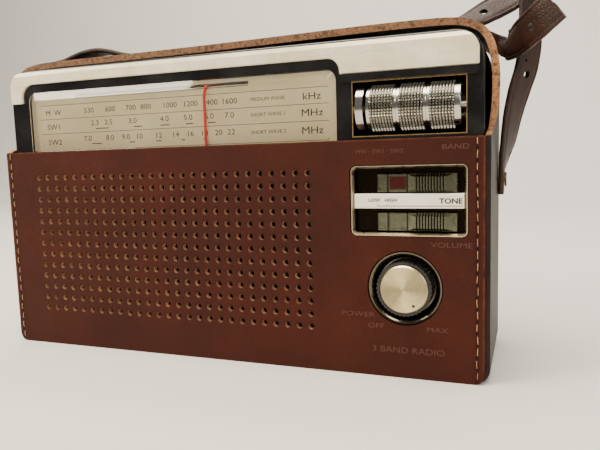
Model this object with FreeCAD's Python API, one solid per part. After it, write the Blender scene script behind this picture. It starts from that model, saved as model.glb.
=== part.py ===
import FreeCAD
import Part
import math
import os

# A portable three-band radio in its stitched leather case, in millimetres.
# +X right, +Y back, +Z up; the origin is the centre of the case's base.

leather = 2.2
panel_leather = 2.4
case_half_width = 108.4
case_front = -30.0
case_back = 30.0
panel_half_width = 106.6
panel_top = 88.9
panel_back = case_front + panel_leather
flap_front = case_back - panel_leather
gap = 0.3

hole_pitch = 5.0
hole_radius = 1.25
hole_columns = 27
hole_rows = 13
first_hole_x = -88.5
first_hole_z = 17.25

body_half_width = 106.0
body_bottom = 2.5
body_top = 126.2
body_corner = 10.0
wall = 2.2
face_y = -25.0
lower_face_y = -27.3
split_y = 0.0
body_back = 27.2

window_left = -95.7
window_right = 52.4
window_bottom = 86.4
window_top = 116.0

volume_x = 78.3
volume_z = 34.1
volume_hole = 14.0
knob_radius = 10.3
cap_radius = 8.9

switch_left = 58.1
switch_right = 101.0
switch_bottom = 53.2
switch_top = 79.6
tray_front = -29.5
tray_floor = -25.8
tray_back = -24.9
band_z = 72.9
tone_z = 58.5
slider_left = 68.1
slider_right = 97.2
slider_height = 6.8
slider_front = -28.2
band_travel = 8.2
tone_travel = 3.5

tuning_y = -22.0
tuning_z = 100.3
roller_radius = 8.95
roller_base_radius = 8.35
tuning_shaft_radius = 1.5
shaft_bore = tuning_shaft_radius + 0.05
pocket_left = 58.6
pocket_right = 99.8
pocket_half_height = 9.9
pocket_wall = 1.4

cord_radius = 0.35
spindle_x = 55.4
spindle_radius = 2.0
spindle_flange = 2.2
cord_y = tuning_y + spindle_radius
pulley_half_width = 0.95
groove_half_width = 0.6
gang_z = 87.0
gang_radius = 24.0
idler_radius = 4.0
left_idler_radius = 5.25
cord_top_z = 121.5
idler_x = spindle_x - idler_radius
gang_x = idler_x - idler_radius - gang_radius
left_idler_x = -79.0
low_idler_z = 62.0
pointer_x = -5.0

speaker_x = -23.5
speaker_z = 47.2
speaker_radius = 38.0

antenna_x = -94.0
antenna_y = 18.0
antenna_bottom = 24.0
antenna_radii = [3.5, 3.0, 2.5, 2.0, 1.5]

strap_width = 12.0
strap_thickness = 2.0
rivet_head = 3.0
rivet_shank = 1.2
rivet_hole = 1.3
rivet_left_y = 0.0
rivet_left_z = 68.0
rivet_right_y = 20.0
rivet_right_z = 71.5
rivet_tail_x = 89.0
rivet_tail_y = 20.0


def vec(x, y, z):
    return FreeCAD.Vector(x, y, z)


def box(x0, x1, y0, y1, z0, z1):
    return Part.makeBox(x1 - x0, y1 - y0, z1 - z0, vec(x0, y0, z0))


def rod_x(x0, x1, y, z, radius):
    return Part.makeCylinder(radius, x1 - x0, vec(x0, y, z), vec(1, 0, 0))


def rod_y(x, y0, y1, z, radius):
    return Part.makeCylinder(radius, y1 - y0, vec(x, y0, z), vec(0, 1, 0))


def rod_z(x, y, z0, z1, radius):
    return Part.makeCylinder(radius, z1 - z0, vec(x, y, z0), vec(0, 0, 1))


def outline(corners, y):
    """A closed wire in the plane at y through (x, z, corner radius) points."""
    edges = []
    starts = []
    ends = []
    middles = []
    count = len(corners)
    for i in range(count):
        x, z, radius = corners[i]
        before = corners[i - 1]
        after = corners[(i + 1) % count]
        corner = vec(x, y, z)
        to_before = vec(before[0], y, before[1]) - corner
        to_after = vec(after[0], y, after[1]) - corner
        to_before.normalize()
        to_after.normalize()
        if radius == 0:
            starts.append(corner)
            middles.append(None)
            ends.append(corner)
            continue
        half = to_before.getAngle(to_after) / 2
        setback = radius / math.tan(half)
        inward = to_before + to_after
        inward.normalize()
        centre = corner + inward * (radius / math.sin(half))
        starts.append(corner + to_before * setback)
        middles.append(centre - inward * radius)
        ends.append(corner + to_after * setback)
    for i in range(count):
        if middles[i] is not None:
            edges.append(Part.Arc(starts[i], middles[i], ends[i]).toShape())
        following = starts[(i + 1) % count]
        if ends[i].distanceToPoint(following) > 1e-6:
            edges.append(Part.makeLine(ends[i], following))
    return Part.Wire(edges)


def plate(corners, y0, y1):
    return Part.Face(outline(corners, y0)).extrude(vec(0, y1 - y0, 0))


def rounded(x0, x1, z0, z1, low_radius, high_radius):
    return [
        (x0, z0, low_radius),
        (x1, z0, low_radius),
        (x1, z1, high_radius),
        (x0, z1, high_radius),
    ]


def ring_y(x, y0, y1, z, outer, inner):
    return rod_y(x, y0, y1, z, outer).cut(rod_y(x, y0 - 1, y1 + 1, z, inner))


def turned_y(x, z, profile):
    """A solid of revolution about the line along Y at (x, z)."""
    points = [vec(x + r, y, z) for r, y in profile]
    points.append(points[0])
    face = Part.Face(Part.makePolygon(points))
    return face.revolve(vec(x, 0, z), vec(0, 1, 0), 360)


def fused(shapes):
    whole = shapes[0].fuse(shapes[1:])
    return whole.removeSplitter()


def save(name, shape):
    shape.exportStep("parts/" + name + ".step")
    print(name, len(shape.Solids), shape.isValid(), round(shape.Volume, 1))


# ---- leather case ----

# Outer contours (x, z) of the hood, from the lower right round to the lower left.
front_hood = [
    (108.4, 88.0),
    (109.9, 95.0),
    (111.1, 103.0),
    (111.3, 109.0),
    (110.9, 114.5),
    (109.6, 120.4),
    (106.1, 127.0),
    (100.0, 130.6),
    (90.0, 132.0),
    (75.5, 132.2),
    (25.6, 131.3),
    (-33.0, 130.4),
    (-71.0, 130.3),
    (-86.0, 130.2),
    (-96.5, 129.5),
    (-103.8, 127.4),
    (-107.8, 123.2),
    (-109.2, 117.0),
    (-109.6, 108.0),
    (-109.3, 98.0),
    (-108.4, 88.0),
]
back_hood_half = [
    (108.4, 88.0),
    (108.4, 97.0),
    (108.5, 106.0),
    (108.5, 115.0),
    (107.6, 122.0),
    (104.2, 127.0),
    (98.0, 129.3),
    (90.0, 129.6),
    (45.0, 129.6),
]
back_hood = back_hood_half + [(0.0, 129.6)]
back_hood = back_hood + [(-x, z) for x, z in reversed(back_hood_half)]
hood_edge_y = -19.0
hood_edge_z = 92.0
edge_swell = 0.6


def hood_curve(contour, y):
    """The hood's arch from lower right over the top to lower left."""
    curve = Part.BSplineCurve()
    up = vec(0, 0, 1)
    points = [vec(x, y, z) for x, z in contour]
    curve.interpolate(Points=points, InitialTangent=up, FinalTangent=vec(0, 0, -1))
    return curve


def inset_curve(curve, swell, count):
    """The same arch moved inwards by the leather, which swells above the panel."""
    first = curve.FirstParameter
    span = curve.LastParameter - first
    points = []
    for i in range(count + 1):
        at = first + span * i / count
        tangent = curve.tangent(at)[0]
        inward = vec(-tangent.z, 0, tangent.x)
        outer = curve.value(at)
        rise = min(1.0, max(0.0, (outer.z - 96.0) / 8.0))
        points.append(outer + inward * (leather + swell * rise))
    inner = Part.BSplineCurve()
    inner.interpolate(points)
    return inner


def loop_wire(curve, y, half_width, bottom, corner):
    """The arch closed by straight sides and a round-cornered bottom."""
    top_right = curve.value(curve.FirstParameter)
    top_left = curve.value(curve.LastParameter)
    low = bottom + corner
    inner = half_width - corner
    diagonal = corner * (1 - math.sqrt(0.5))
    edges = [
        curve.toShape(),
        Part.makeLine(top_left, vec(-half_width, y, low)),
        Part.Arc(
            vec(-half_width, y, low),
            vec(-half_width + diagonal, y, bottom + diagonal),
            vec(-inner, y, bottom),
        ).toShape(),
        Part.makeLine(vec(-inner, y, bottom), vec(inner, y, bottom)),
        Part.Arc(
            vec(inner, y, bottom),
            vec(half_width - diagonal, y, bottom + diagonal),
            vec(half_width, y, low),
        ).toShape(),
        Part.makeLine(vec(half_width, y, low), top_right),
    ]
    return Part.Wire(Part.__sortEdges__(edges))


def hood_loft(inset, corner):
    front_y = panel_back
    back_y = flap_front - gap
    wires = []
    for contour, y, swell in ((front_hood, front_y, edge_swell), (back_hood, back_y, 0.0)):
        curve = hood_curve(contour, y)
        if inset > 0:
            curve = inset_curve(curve, swell, 44)
        wires.append(loop_wire(curve, y, case_half_width - inset, inset, corner))
    return Part.makeLoft(wires, True, True)


def case_side_band():
    """One strip of leather round the bottom, both sides and over the top."""
    shell = hood_loft(0.0, 5.0).cut(hood_loft(leather, 2.8))
    front_cut = Part.makePolygon([
        vec(-130, case_front, panel_top),
        vec(-130, panel_back, panel_top),
        vec(-130, hood_edge_y, hood_edge_z),
        vec(-130, hood_edge_y, 150.0),
        vec(-130, case_front, 150.0),
        vec(-130, case_front, panel_top),
    ])
    shell = shell.cut(Part.Face(front_cut).extrude(vec(260, 0, 0)))
    cutters = [
        rod_x(-112, -100, -14.0, 58.0, 5.0),
        rod_x(-112, -100, -14.0, 42.0, 5.0),
        rod_z(antenna_x, antenna_y, 124.0, 134.0, 4.2),
        rod_x(-112, -100, rivet_left_y, rivet_left_z, rivet_hole),
        rod_x(100, 112, rivet_right_y, rivet_right_z, rivet_hole),
        rod_z(rivet_tail_x, rivet_tail_y, 124.0, 134.0, rivet_hole),
    ]
    return shell.cut(cutters)


def case_front_panel():
    """The stitched front with its speaker perforations and control openings."""
    body = plate(
        rounded(-panel_half_width, panel_half_width, 0.0, panel_top, 4.0, 0.6),
        case_front,
        panel_back,
    )
    cutters = [rod_y(volume_x, case_front - 1, panel_back + 1, volume_z, volume_hole)]
    cutters.append(plate(
        rounded(switch_left, switch_right, switch_bottom, switch_top, 2.5, 2.5),
        case_front - 1,
        panel_back + 1,
    ))
    for column in range(hole_columns):
        for row in range(hole_rows):
            x = first_hole_x + column * hole_pitch
            z = first_hole_z + row * hole_pitch
            cutters.append(rod_y(x, case_front - 1, panel_back + 1, z, hole_radius))
    return body.cut(Part.makeCompound(cutters))


tab_x = 38.0
tab_half = 12.0
tab_bottom = 132.3
tab_front = 9.0
stud_y = 15.0
roll_radius = panel_leather / 2


def case_back_flap():
    """The back, rolled along its lower edge to turn there, with two tabs over the hood."""
    back = plate(
        rounded(-panel_half_width, panel_half_width, roll_radius, 126.0, 2.8, 12.0),
        flap_front,
        case_back,
    )
    roll_end = panel_half_width - 2.8
    roll = rod_x(-roll_end, roll_end, case_back - roll_radius, roll_radius, roll_radius)
    pieces = [back, roll]
    for side in (-1, 1):
        centre = side * tab_x
        low = centre - tab_half
        high = centre + tab_half
        pieces.append(box(low, high, flap_front, case_back, 120.0, tab_bottom + leather))
        tab = box(low, high, tab_front, flap_front, tab_bottom, tab_bottom + leather)
        front_edges = []
        for edge in tab.Edges:
            bounds = edge.BoundBox
            if bounds.YMax < tab_front + 0.1 and bounds.ZLength > 1:
                front_edges.append(edge)
        pieces.append(tab.makeFillet(8.0, front_edges))
    flap = fused(pieces)
    holes = [rod_z(side * tab_x, stud_y, 130, 140, 2.1) for side in (-1, 1)]
    return flap.cut(holes)


def flap_press_studs():
    caps = []
    for side in (-1, 1):
        x = side * tab_x
        top = tab_bottom + leather
        cap = rod_z(x, stud_y, top, top + 1.4, 5.5)
        rim = [edge for edge in cap.Edges if edge.BoundBox.ZMin > top + 1]
        cap = cap.makeFillet(1.0, rim)
        caps.append(fused([cap, rod_z(x, stud_y, tab_bottom, top + 0.5, 2.0)]))
    return Part.makeCompound(caps)


def case_press_studs():
    studs = []
    for side in (-1, 1):
        x = side * tab_x
        studs.append(rod_z(x, stud_y, 130.9, 131.9, 4.0))
    return Part.makeCompound(studs)


def strap_rivets():
    """Flat-headed rivets at both ends of the strap and at the root of its tail."""
    left = fused([
        rod_x(-111.8, -111.0, rivet_left_y, rivet_left_z, rivet_head),
        rod_x(-111.1, -106.3, rivet_left_y, rivet_left_z, rivet_shank),
    ])
    right = fused([
        rod_x(111.1, 111.8, rivet_right_y, rivet_right_z, rivet_head),
        rod_x(106.3, 111.2, rivet_right_y, rivet_right_z, rivet_shank),
    ])
    tail = fused([
        rod_z(rivet_tail_x, rivet_tail_y, 132.9, 133.6, rivet_head),
        rod_z(rivet_tail_x, rivet_tail_y, 126.6, 133.0, rivet_shank),
    ])
    return Part.makeCompound([left, right, tail])


# Each strap station: centre x, y, z and the direction of the strap's width.
strap_stations = [
    (-109.7, 0.0, 61.0, 0.0, 1.0, 0.0),
    (-109.7, 0.0, 70.0, 0.0, 1.0, 0.0),
    (-109.8, 0.0, 80.0, 0.0, 1.0, 0.0),
    (-110.4, 0.0, 92.0, 0.0, 1.0, 0.0),
    (-110.7, 0.0, 108.0, 0.0, 1.0, 0.0),
    (-110.3, 0.0, 118.0, 0.0, 1.0, 0.0),
    (-108.4, 0.0, 125.0, 0.0, 1.0, 0.0),
    (-104.5, 0.0, 129.4, 0.0, 1.0, 0.0),
    (-98.0, 0.0, 131.6, 0.0, 1.0, 0.0),
    (-91.5, 0.0, 132.6, 0.0, 1.0, 0.0),
    (-86.5, 0.0, 134.0, 0.0, 1.0, 0.0),
    (-80.0, 0.0, 135.6, 0.0, 1.0, 0.0),
    (-72.0, 0.0, 136.2, 0.0, 1.0, 0.0),
    (-64.5, 0.0, 135.0, 0.0, 1.0, 0.0),
    (-56.0, 0.0, 132.7, 0.0, 1.0, 0.0),
    (-46.0, 0.0, 131.5, 0.0, 1.0, 0.0),
    (-20.0, 0.0, 131.5, 0.0, 1.0, 0.0),
    (20.0, 0.0, 131.9, 0.0, 1.0, 0.0),
    (55.0, 0.0, 132.5, 0.0, 1.0, 0.0),
    (76.0, 3.0, 133.0, 0.0, 1.0, 0.0),
    (88.0, 7.0, 133.9, -0.2, 0.95, 0.1),
    (95.0, 9.5, 135.0, -0.4, 0.8, 0.35),
    (100.0, 12.0, 136.5, -0.5, 0.62, 0.6),
    (105.0, 15.0, 139.4, -0.5, 0.5, 0.7),
    (111.0, 18.5, 142.8, -0.45, 0.5, 0.75),
    (118.0, 21.0, 147.0, -0.4, 0.65, 0.6),
    (125.0, 22.0, 152.5, -0.3, 0.85, 0.35),
    (130.5, 21.3, 159.0, -0.15, 0.97, 0.15),
    (132.6, 19.8, 165.5, 0.0, 1.0, 0.05),
    (130.6, 18.2, 170.6, 0.15, 0.99, 0.0),
    (126.4, 16.6, 171.6, 0.28, 0.96, 0.0),
    (122.9, 15.3, 167.6, 0.4, 0.92, 0.0),
    (121.2, 14.3, 161.0, 0.5, 0.87, 0.0),
    (120.6, 13.6, 153.5, 0.6, 0.8, 0.0),
    (120.5, 13.1, 146.0, 0.65, 0.76, 0.0),
    (120.5, 13.0, 139.0, 0.65, 0.76, 0.0),
    (120.4, 12.5, 132.0, 0.65, 0.76, 0.0),
    (120.3, 12.3, 124.0, 0.65, 0.76, 0.0),
    (119.1, 12.2, 115.5, 0.66, 0.75, 0.0),
    (116.6, 12.0, 107.0, 0.62, 0.78, 0.0),
    (114.6, 12.8, 99.0, 0.54, 0.84, 0.0),
    (113.3, 14.4, 92.0, 0.44, 0.9, 0.0),
    (112.3, 16.6, 86.0, 0.34, 0.94, 0.0),
    (111.1, 18.8, 80.5, 0.16, 0.98, 0.0),
    (110.0, 20.0, 75.0, 0.0, 1.0, 0.0),
    (109.8, 20.0, 70.5, 0.0, 1.0, 0.0),
    (109.7, 20.0, 65.5, 0.0, 1.0, 0.0),
]
tail_stations = [
    (83.0, 20.0, 131.8, 0.0, 1.0, 0.0),
    (94.0, 20.0, 131.8, 0.0, 1.0, 0.0),
    (100.0, 20.0, 131.5, 0.0, 1.0, 0.0),
    (105.4, 19.9, 130.4, 0.0, 1.0, 0.02),
    (110.1, 18.9, 128.5, 0.0, 0.97, 0.2),
    (112.6, 15.6, 126.3, 0.0, 0.8, 0.55),
    (113.2, 10.0, 124.4, 0.0, 0.58, 0.8),
    (115.4, 3.6, 124.6, -0.3, 0.35, 0.85),
    (118.4, -2.5, 126.1, -0.45, 0.2, 0.8),
    (122.2, -7.0, 128.5, -0.55, 0.15, 0.78),
    (125.2, -9.5, 130.9, -0.6, 0.1, 0.75),
    (128.7, -11.2, 133.6, -0.65, 0.1, 0.72),
]


def ribbon(stations, steps):
    """A flat strap swept along its stations."""
    path = Part.BSplineCurve()
    path.interpolate([vec(s[0], s[1], s[2]) for s in stations])
    widths = [vec(s[3], s[4], s[5]).normalize() for s in stations]
    parameters = [path.parameter(vec(s[0], s[1], s[2])) for s in stations]
    sections = []
    first = path.FirstParameter
    span = path.LastParameter - first
    for i in range(steps + 1):
        at = first + span * i / steps
        place = 0
        while place < len(parameters) - 2 and at > parameters[place + 1]:
            place += 1
        part = (at - parameters[place]) / (parameters[place + 1] - parameters[place])
        side = widths[place] * (1 - part) + widths[place + 1] * part
        tangent = path.tangent(at)[0]
        normal = tangent.cross(side)
        normal.normalize()
        side = normal.cross(tangent)
        side.normalize()
        centre = path.value(at)
        half_side = side * (strap_width / 2)
        half_normal = normal * (strap_thickness / 2)
        corners = [
            centre + half_side + half_normal,
            centre - half_side + half_normal,
            centre - half_side - half_normal,
            centre + half_side - half_normal,
        ]
        corners.append(corners[0])
        sections.append(Part.makePolygon(corners))
    return Part.makeLoft(sections, True, True)


def carry_strap():
    """The strap from the left rivet over the top, round its loop and down the right."""
    strap = ribbon(strap_stations, 132)
    slant = Part.makePolygon([
        vec(100, 21.5, 60.0),
        vec(100, 27.5, 74.5),
        vec(100, 30.0, 60.0),
        vec(100, 21.5, 60.0),
    ])
    return strap.cut([
        rod_x(-113, -106, rivet_left_y, rivet_left_z, rivet_hole),
        rod_x(106, 113, rivet_right_y, rivet_right_z, rivet_hole),
        Part.Face(slant).extrude(vec(15, 0, 0)),
    ])


def strap_tail():
    """The strap's spare end, riveted on the hood and curling forward."""
    root_hole = rod_z(rivet_tail_x, rivet_tail_y, 124.0, 136.0, rivet_hole)
    return ribbon(tail_stations, 39).cut(root_hole)


# ---- cabinet ----

def body_outline(inset):
    return rounded(
        -body_half_width + inset,
        body_half_width - inset,
        body_bottom + inset,
        body_top - inset,
        max(0.5, 4.0 - inset),
        body_corner - inset,
    )


def edges_at_y(shape, y):
    found = []
    for edge in shape.Edges:
        bounds = edge.BoundBox
        if abs(bounds.YMin - y) < 0.001 and abs(bounds.YMax - y) < 0.001:
            found.append(edge)
    return found


def screw_posts():
    return [(-97.0, 14.0), (98.0, 9.0), (94.0, 116.0), (-68.0, 60.0)]


def control_post_places():
    return [(63.0, 85.5), (99.5, 85.5), (60.5, 16.0), (98.5, 16.0)]


def front_cabinet():
    """The black front half: face, window, tuning pocket and grille slots."""
    main = plate(body_outline(0.0), face_y, split_y)
    main = main.makeFillet(1.0, edges_at_y(main, face_y))
    lower = rounded(-105.6, 105.6, body_bottom, 86.0, 4.0, 0.5)
    main = main.fuse(plate(lower, lower_face_y, face_y + 2))
    main = main.cut(plate(body_outline(wall), face_y + wall, split_y + 1))
    hollow = rounded(-103.4, 103.4, body_bottom + wall, 83.8, 2.0, 0.5)
    main = main.cut(plate(hollow, lower_face_y + wall, face_y + wall + 0.1))
    lip = plate(rounded(54.2, 104.0, 110.7, 113.3, 0.6, 0.0), face_y - 1.6, face_y + 1)
    pocket = box(
        pocket_left - pocket_wall,
        pocket_right + pocket_wall,
        face_y,
        tuning_y + 3.0,
        tuning_z - pocket_half_height - pocket_wall,
        tuning_z + pocket_half_height + pocket_wall,
    )
    trough = rod_x(
        pocket_left - pocket_wall,
        pocket_right + pocket_wall,
        tuning_y,
        tuning_z,
        pocket_half_height + pocket_wall,
    )
    trough = trough.common(box(0, 120, face_y, 0, 50, 125))
    posts = []
    for x, z in screw_posts():
        root = face_y + 0.5 if z > 84 else lower_face_y + 0.5
        posts.append(rod_y(x, root, -2.0, z, 3.6))
    for x, z in control_post_places():
        root = face_y + 0.5 if z > 84 else lower_face_y + 0.5
        posts.append(rod_y(x, root, -12.8, z, 2.4))
    main = fused([main, lip, pocket, trough] + posts)
    cutters = []
    cutters.append(box(
        pocket_left, pocket_right, face_y - 3, tuning_y,
        tuning_z - pocket_half_height, tuning_z + pocket_half_height,
    ))
    cutters.append(rod_x(pocket_left, pocket_right, tuning_y, tuning_z, pocket_half_height))
    cutters.append(rod_x(shaft_left - 0.4, 101.9, tuning_y, tuning_z, shaft_bore))
    relief = spindle_flange + 0.15
    cutters.append(rod_x(spindle_x - 1.5, spindle_x + 1.5, tuning_y, tuning_z, relief))
    window = [
        (window_left, window_bottom, 0.5),
        (window_right, window_bottom, 0.5),
        (window_right, window_top, 4.5),
        (window_left, window_top, 4.5),
    ]
    cutters.append(plate(window, face_y - 3, face_y + wall + 1))
    cutters.append(plate(tray_outline(0.2), lower_face_y - 1, face_y + 1))
    cutters.append(rod_y(volume_x, lower_face_y - 1, -18.0, volume_z, 13.1))
    cutters.append(rod_y(speaker_x, -25.0, -20.0, speaker_z, speaker_radius + gap))
    for i in range(-4, 5):
        x = speaker_x + i * 7.0
        half = math.sqrt(33.0 ** 2 - (i * 7.0) ** 2)
        slot = rounded(x - 2.1, x + 2.1, speaker_z - half, speaker_z + half, 2.0, 2.0)
        cutters.append(plate(slot, lower_face_y - 1, lower_face_y + wall + 1))
    cutters.append(rod_x(-107.0, -103.0, -14.0, 58.0, 4.2))
    cutters.append(rod_x(-107.0, -103.0, -14.0, 42.0, 4.2))
    for x, z in screw_posts():
        cutters.append(rod_y(x, -14.0, -1.0, z, 1.3))
    for x, z in control_post_places():
        cutters.append(rod_y(x, -20.0, -12.0, z, 0.9))
    return main.cut(cutters)


def rear_cabinet():
    """The back half, with louvres and the screw wells."""
    main = plate(body_outline(0.0), split_y, body_back)
    main = main.makeFillet(2.0, edges_at_y(main, body_back))
    main = main.cut(plate(body_outline(wall), split_y - 1, body_back - wall))
    posts = []
    for x, z in screw_posts():
        posts.append(rod_y(x, -2.0 + gap + 0.2, body_back - 1, z, 3.6))
    main = fused([main] + posts)
    cutters = [rod_z(antenna_x, antenna_y, 118.0, 130.0, antenna_radii[0] + 0.1)]
    for x, z in screw_posts():
        cutters.append(rod_y(x, -3.0, body_back + 1, z, 1.7))
        cutters.append(rod_y(x, 18.0, body_back + 1, z, 3.0))
    for i in range(7):
        z = 62.0 + i * 5.0
        slot = rounded(20.0, 80.0, z, z + 2.4, 1.1, 1.1)
        cutters.append(plate(slot, body_back - wall - 1, body_back + 1))
    return main.cut(cutters)


def cabinet_screws():
    screws = []
    for x, z in screw_posts():
        head = rod_y(x, 18.1, 20.0, z, 2.8)
        slot = box(x - 3, x + 3, 19.2, 20.5, z - 0.4, z + 0.4)
        shank = rod_y(x, -8.0, 18.1, z, 1.25)
        screws.append(fused([head.cut(slot), shank]))
    return Part.makeCompound(screws)


trim_front = face_y - 1.2
trim_bottom = 119.7
trim_top = 125.2


def top_trim():
    """The pressed aluminium trim along the top and down both ends."""
    corners = [
        (-105.2, 111.3, 0.8),
        (-98.6, 111.3, 0.8),
        (-98.6, trim_bottom, 6.0),
        (53.8, trim_bottom, 5.0),
        (53.8, 113.5, 0.8),
        (104.3, 113.5, 1.0),
        (104.3, trim_top, 6.5),
        (-105.2, trim_top, 6.5),
    ]
    trim = plate(corners, trim_front, face_y)
    trim = trim.makeChamfer(0.35, edges_at_y(trim, trim_front))
    bevel = Part.makePolygon([
        vec(-120, trim_front - 0.1, trim_top - 1.9),
        vec(-120, face_y - 0.3, trim_top + 0.1),
        vec(-120, trim_front - 1, trim_top + 0.1),
        vec(-120, trim_front - 0.1, trim_top - 1.9),
    ])
    return trim.cut(Part.Face(bevel).extrude(vec(240, 0, 0)))


def dial_lens():
    """The clear window with a wide bevel round its front."""
    low = window_bottom + 0.2
    left = window_left + 0.2
    right = window_right - 0.2
    top = window_top - 0.2
    bevel = 3.6
    outer = [(left, low, 0.4), (right, low, 0.4), (right, top, 4.3), (left, top, 4.3)]
    inner = [
        (left + bevel, low + bevel, 0.4),
        (right - bevel, low + bevel, 0.4),
        (right - bevel, top - bevel, 1.4),
        (left + bevel, top - bevel, 1.4),
    ]
    slab = plate(outer, -25.2, -23.3)
    front = Part.makeLoft([outline(outer, -25.2), outline(inner, -26.4)], True, True)
    return fused([slab, front])


scale_front = -22.0
scale_back = -21.2


def dial_scale_plate():
    """The printed scale, slotted near its top for the pointer."""
    scale = plate(rounded(-94.9, 51.6, 84.2, 115.2, 0.4, 0.4), scale_front, scale_back)
    slot = box(-71.0, 15.0, scale_front - 1, scale_back + 1, 112.3, 113.6)
    return scale.cut(slot)


# ---- switches and volume ----

def tray_outline(grow):
    """The bezel's outline, made larger all round by grow."""
    return rounded(
        switch_left + 0.4 - grow,
        switch_right - 0.3 + grow,
        switch_bottom + 0.3 - grow,
        switch_top - 0.3 + grow,
        2.1 + grow,
        2.1 + grow,
    )


def switch_bezel():
    """The bright tray that both slide switches sit in, bevelled round its front."""
    tray = plate(tray_outline(0.0), tray_front, tray_back)
    mouth = outline(tray_outline(-0.3), tray_front - 0.01)
    throat = outline(tray_outline(-1.1), tray_front + 1.3)
    tray = tray.cut(Part.makeLoft([mouth, throat], True, True))
    tray = tray.cut(plate(tray_outline(-1.1), tray_front + 1.2, tray_floor))
    stem = slider_left + stem_offset
    slots = []
    for z, travel in ((band_z, band_travel), (tone_z, tone_travel)):
        left = stem - travel - 0.6
        right = stem + stem_length + 0.6
        slots.append(box(left, right, tray_floor - 1, -24.0, z - 1.0, z + 1.0))
    return tray.cut(slots)


label_front = -28.9
label_bottom = 63.5
label_top = 69.0


def switch_label_strip():
    """The bright bar between the two switches that carries their marks."""
    strip = box(59.7, 99.5, label_front, tray_floor, label_bottom, label_top)
    front_edges = edges_at_y(strip, label_front)
    long_edges = [edge for edge in front_edges if edge.BoundBox.XLength > 10]
    return strip.makeFillet(0.6, long_edges)


slider_back = tray_floor - gap
grip_rise = 1.4
grip_ribs = 10
grip_rib_pitch = 1.05
sunk_depth = 0.3
stem_offset = 12.8
stem_length = 4.0


def slider(z):
    """A switch grip: two sunk panels, a ribbed wedge-ended block and its stem."""
    half = slider_height / 2
    cap = box(slider_left, slider_right, slider_front, slider_back, z - half, z + half)
    cap = cap.makeChamfer(0.3, edges_at_y(cap, slider_front))
    sunk = []
    for left, right in ((68.6, 71.7), (72.7, 79.0)):
        depth = slider_front + sunk_depth
        sunk.append(box(left, right, slider_front - 1, depth, z - 2.5, z + 2.5))
    base = outline(rounded(79.6, 95.7, z - 3.0, z + 3.0, 0.0, 0.0), slider_front)
    top = outline(rounded(82.2, 93.1, z - 2.1, z + 2.1, 0.0, 0.0), slider_front - grip_rise)
    grip = Part.makeLoft([base, top], True, True)
    grooves = []
    for i in range(grip_ribs):
        x = 82.9 + i * grip_rib_pitch
        grooves.append(box(x - 0.2, x + 0.2, slider_front - 2, slider_front - 0.9, z - half, z + half))
    stem_x = slider_left + stem_offset
    stem = box(stem_x, stem_x + stem_length, slider_back, -20.0, z - 0.8, z + 0.8)
    return fused([cap.cut(sunk), grip.cut(grooves), stem])


def slide_switch(x0, x1, z, half_height):
    body = box(x0, x1, -23.5, -13.0, z - half_height, z + half_height)
    return body.cut(box(x0 + 2, x1 - 2, -24.5, -19.5, z - 1.0, z + 1.0))


def control_bracket():
    """A steel plate behind the controls that carries them on four posts."""
    plate_body = box(59.0, 101.0, -12.7, -11.7, 13.5, 87.5)
    holes = [rod_y(x, -14, -10, z, 1.2) for x, z in control_post_places()]
    return plate_body.cut(holes)


def volume_dish():
    """A bright dish, coved from its rim down to a flat floor round the knob."""
    cove = []
    for i in range(9):
        angle = math.pi / 2 * i / 8
        cove.append((13.5 - 2.7 * math.sin(angle), -24.6 - 4.9 * math.cos(angle)))
    return turned_y(volume_x, volume_z, cove + [
        (3.5, -24.6),
        (3.5, -23.7),
        (11.0, -23.7),
        (12.7, -27.4),
        (13.8, -27.4),
        (13.8, -29.3),
    ])


def volume_knob():
    """The black skirt with its fine ribs."""
    ribs = 40
    points = []
    for i in range(ribs * 2):
        angle = math.pi * i / ribs
        radius = knob_radius if i % 2 == 0 else knob_radius - 0.4
        x = volume_x + radius * math.cos(angle)
        z = volume_z + radius * math.sin(angle)
        points.append(vec(x, -31.5, z))
    points.append(points[0])
    skirt = Part.Face(Part.makePolygon(points)).extrude(vec(0, 6.6, 0))
    return skirt.cut(rod_y(volume_x, -30.0, -20.0, volume_z, 3.03))


def volume_knob_cap():
    cap = rod_y(volume_x, -32.7, -31.5, volume_z, cap_radius)
    return cap.makeChamfer(0.5, edges_at_y(cap, -32.7))


def volume_shaft():
    return rod_y(volume_x, -29.8, -21.6, volume_z, 3.0)


def volume_pot():
    bush = ring_y(volume_x, -23.4, -21.0, volume_z, 4.6, 3.05)
    can = rod_y(volume_x, -21.0, -12.8, volume_z, 8.5)
    can = can.cut(rod_y(volume_x, -22.0, -20.0, volume_z, 3.05))
    return fused([bush, can])


# ---- tuning drive ----

shaft_left = 53.4
shaft_right = 101.1


def tuning_shaft():
    """The steel shaft; the cord winds on it between two small flanges."""
    pieces = [rod_x(shaft_left, shaft_right, tuning_y, tuning_z, tuning_shaft_radius)]
    for x in (spindle_x - 1.2, spindle_x + 0.6):
        pieces.append(rod_x(x, x + 0.6, tuning_y, tuning_z, spindle_flange))
    return fused(pieces)


roller_left = 64.5
roller_right = 98.4
knurl_start = 65.9
knurl_width = 8.7
knurl_pitch = 10.8


def tuning_roller():
    """The chromed thumb roller with its three knurled bands."""
    pieces = [rod_x(roller_left, roller_right, tuning_y, tuning_z, roller_base_radius)]
    for i in range(3):
        x = knurl_start + i * knurl_pitch
        pieces.append(rod_x(x, x + knurl_width, tuning_y, tuning_z, roller_radius))
    roller = fused(pieces)
    return roller.cut(rod_x(50, 110, tuning_y, tuning_z, shaft_bore))


end_ring_radius = 8.6


def tuning_end_ring():
    """The plain ring beside the roller."""
    ring = rod_x(60.8, 63.6, tuning_y, tuning_z, end_ring_radius)
    return ring.cut(rod_x(50, 110, tuning_y, tuning_z, shaft_bore))


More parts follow.
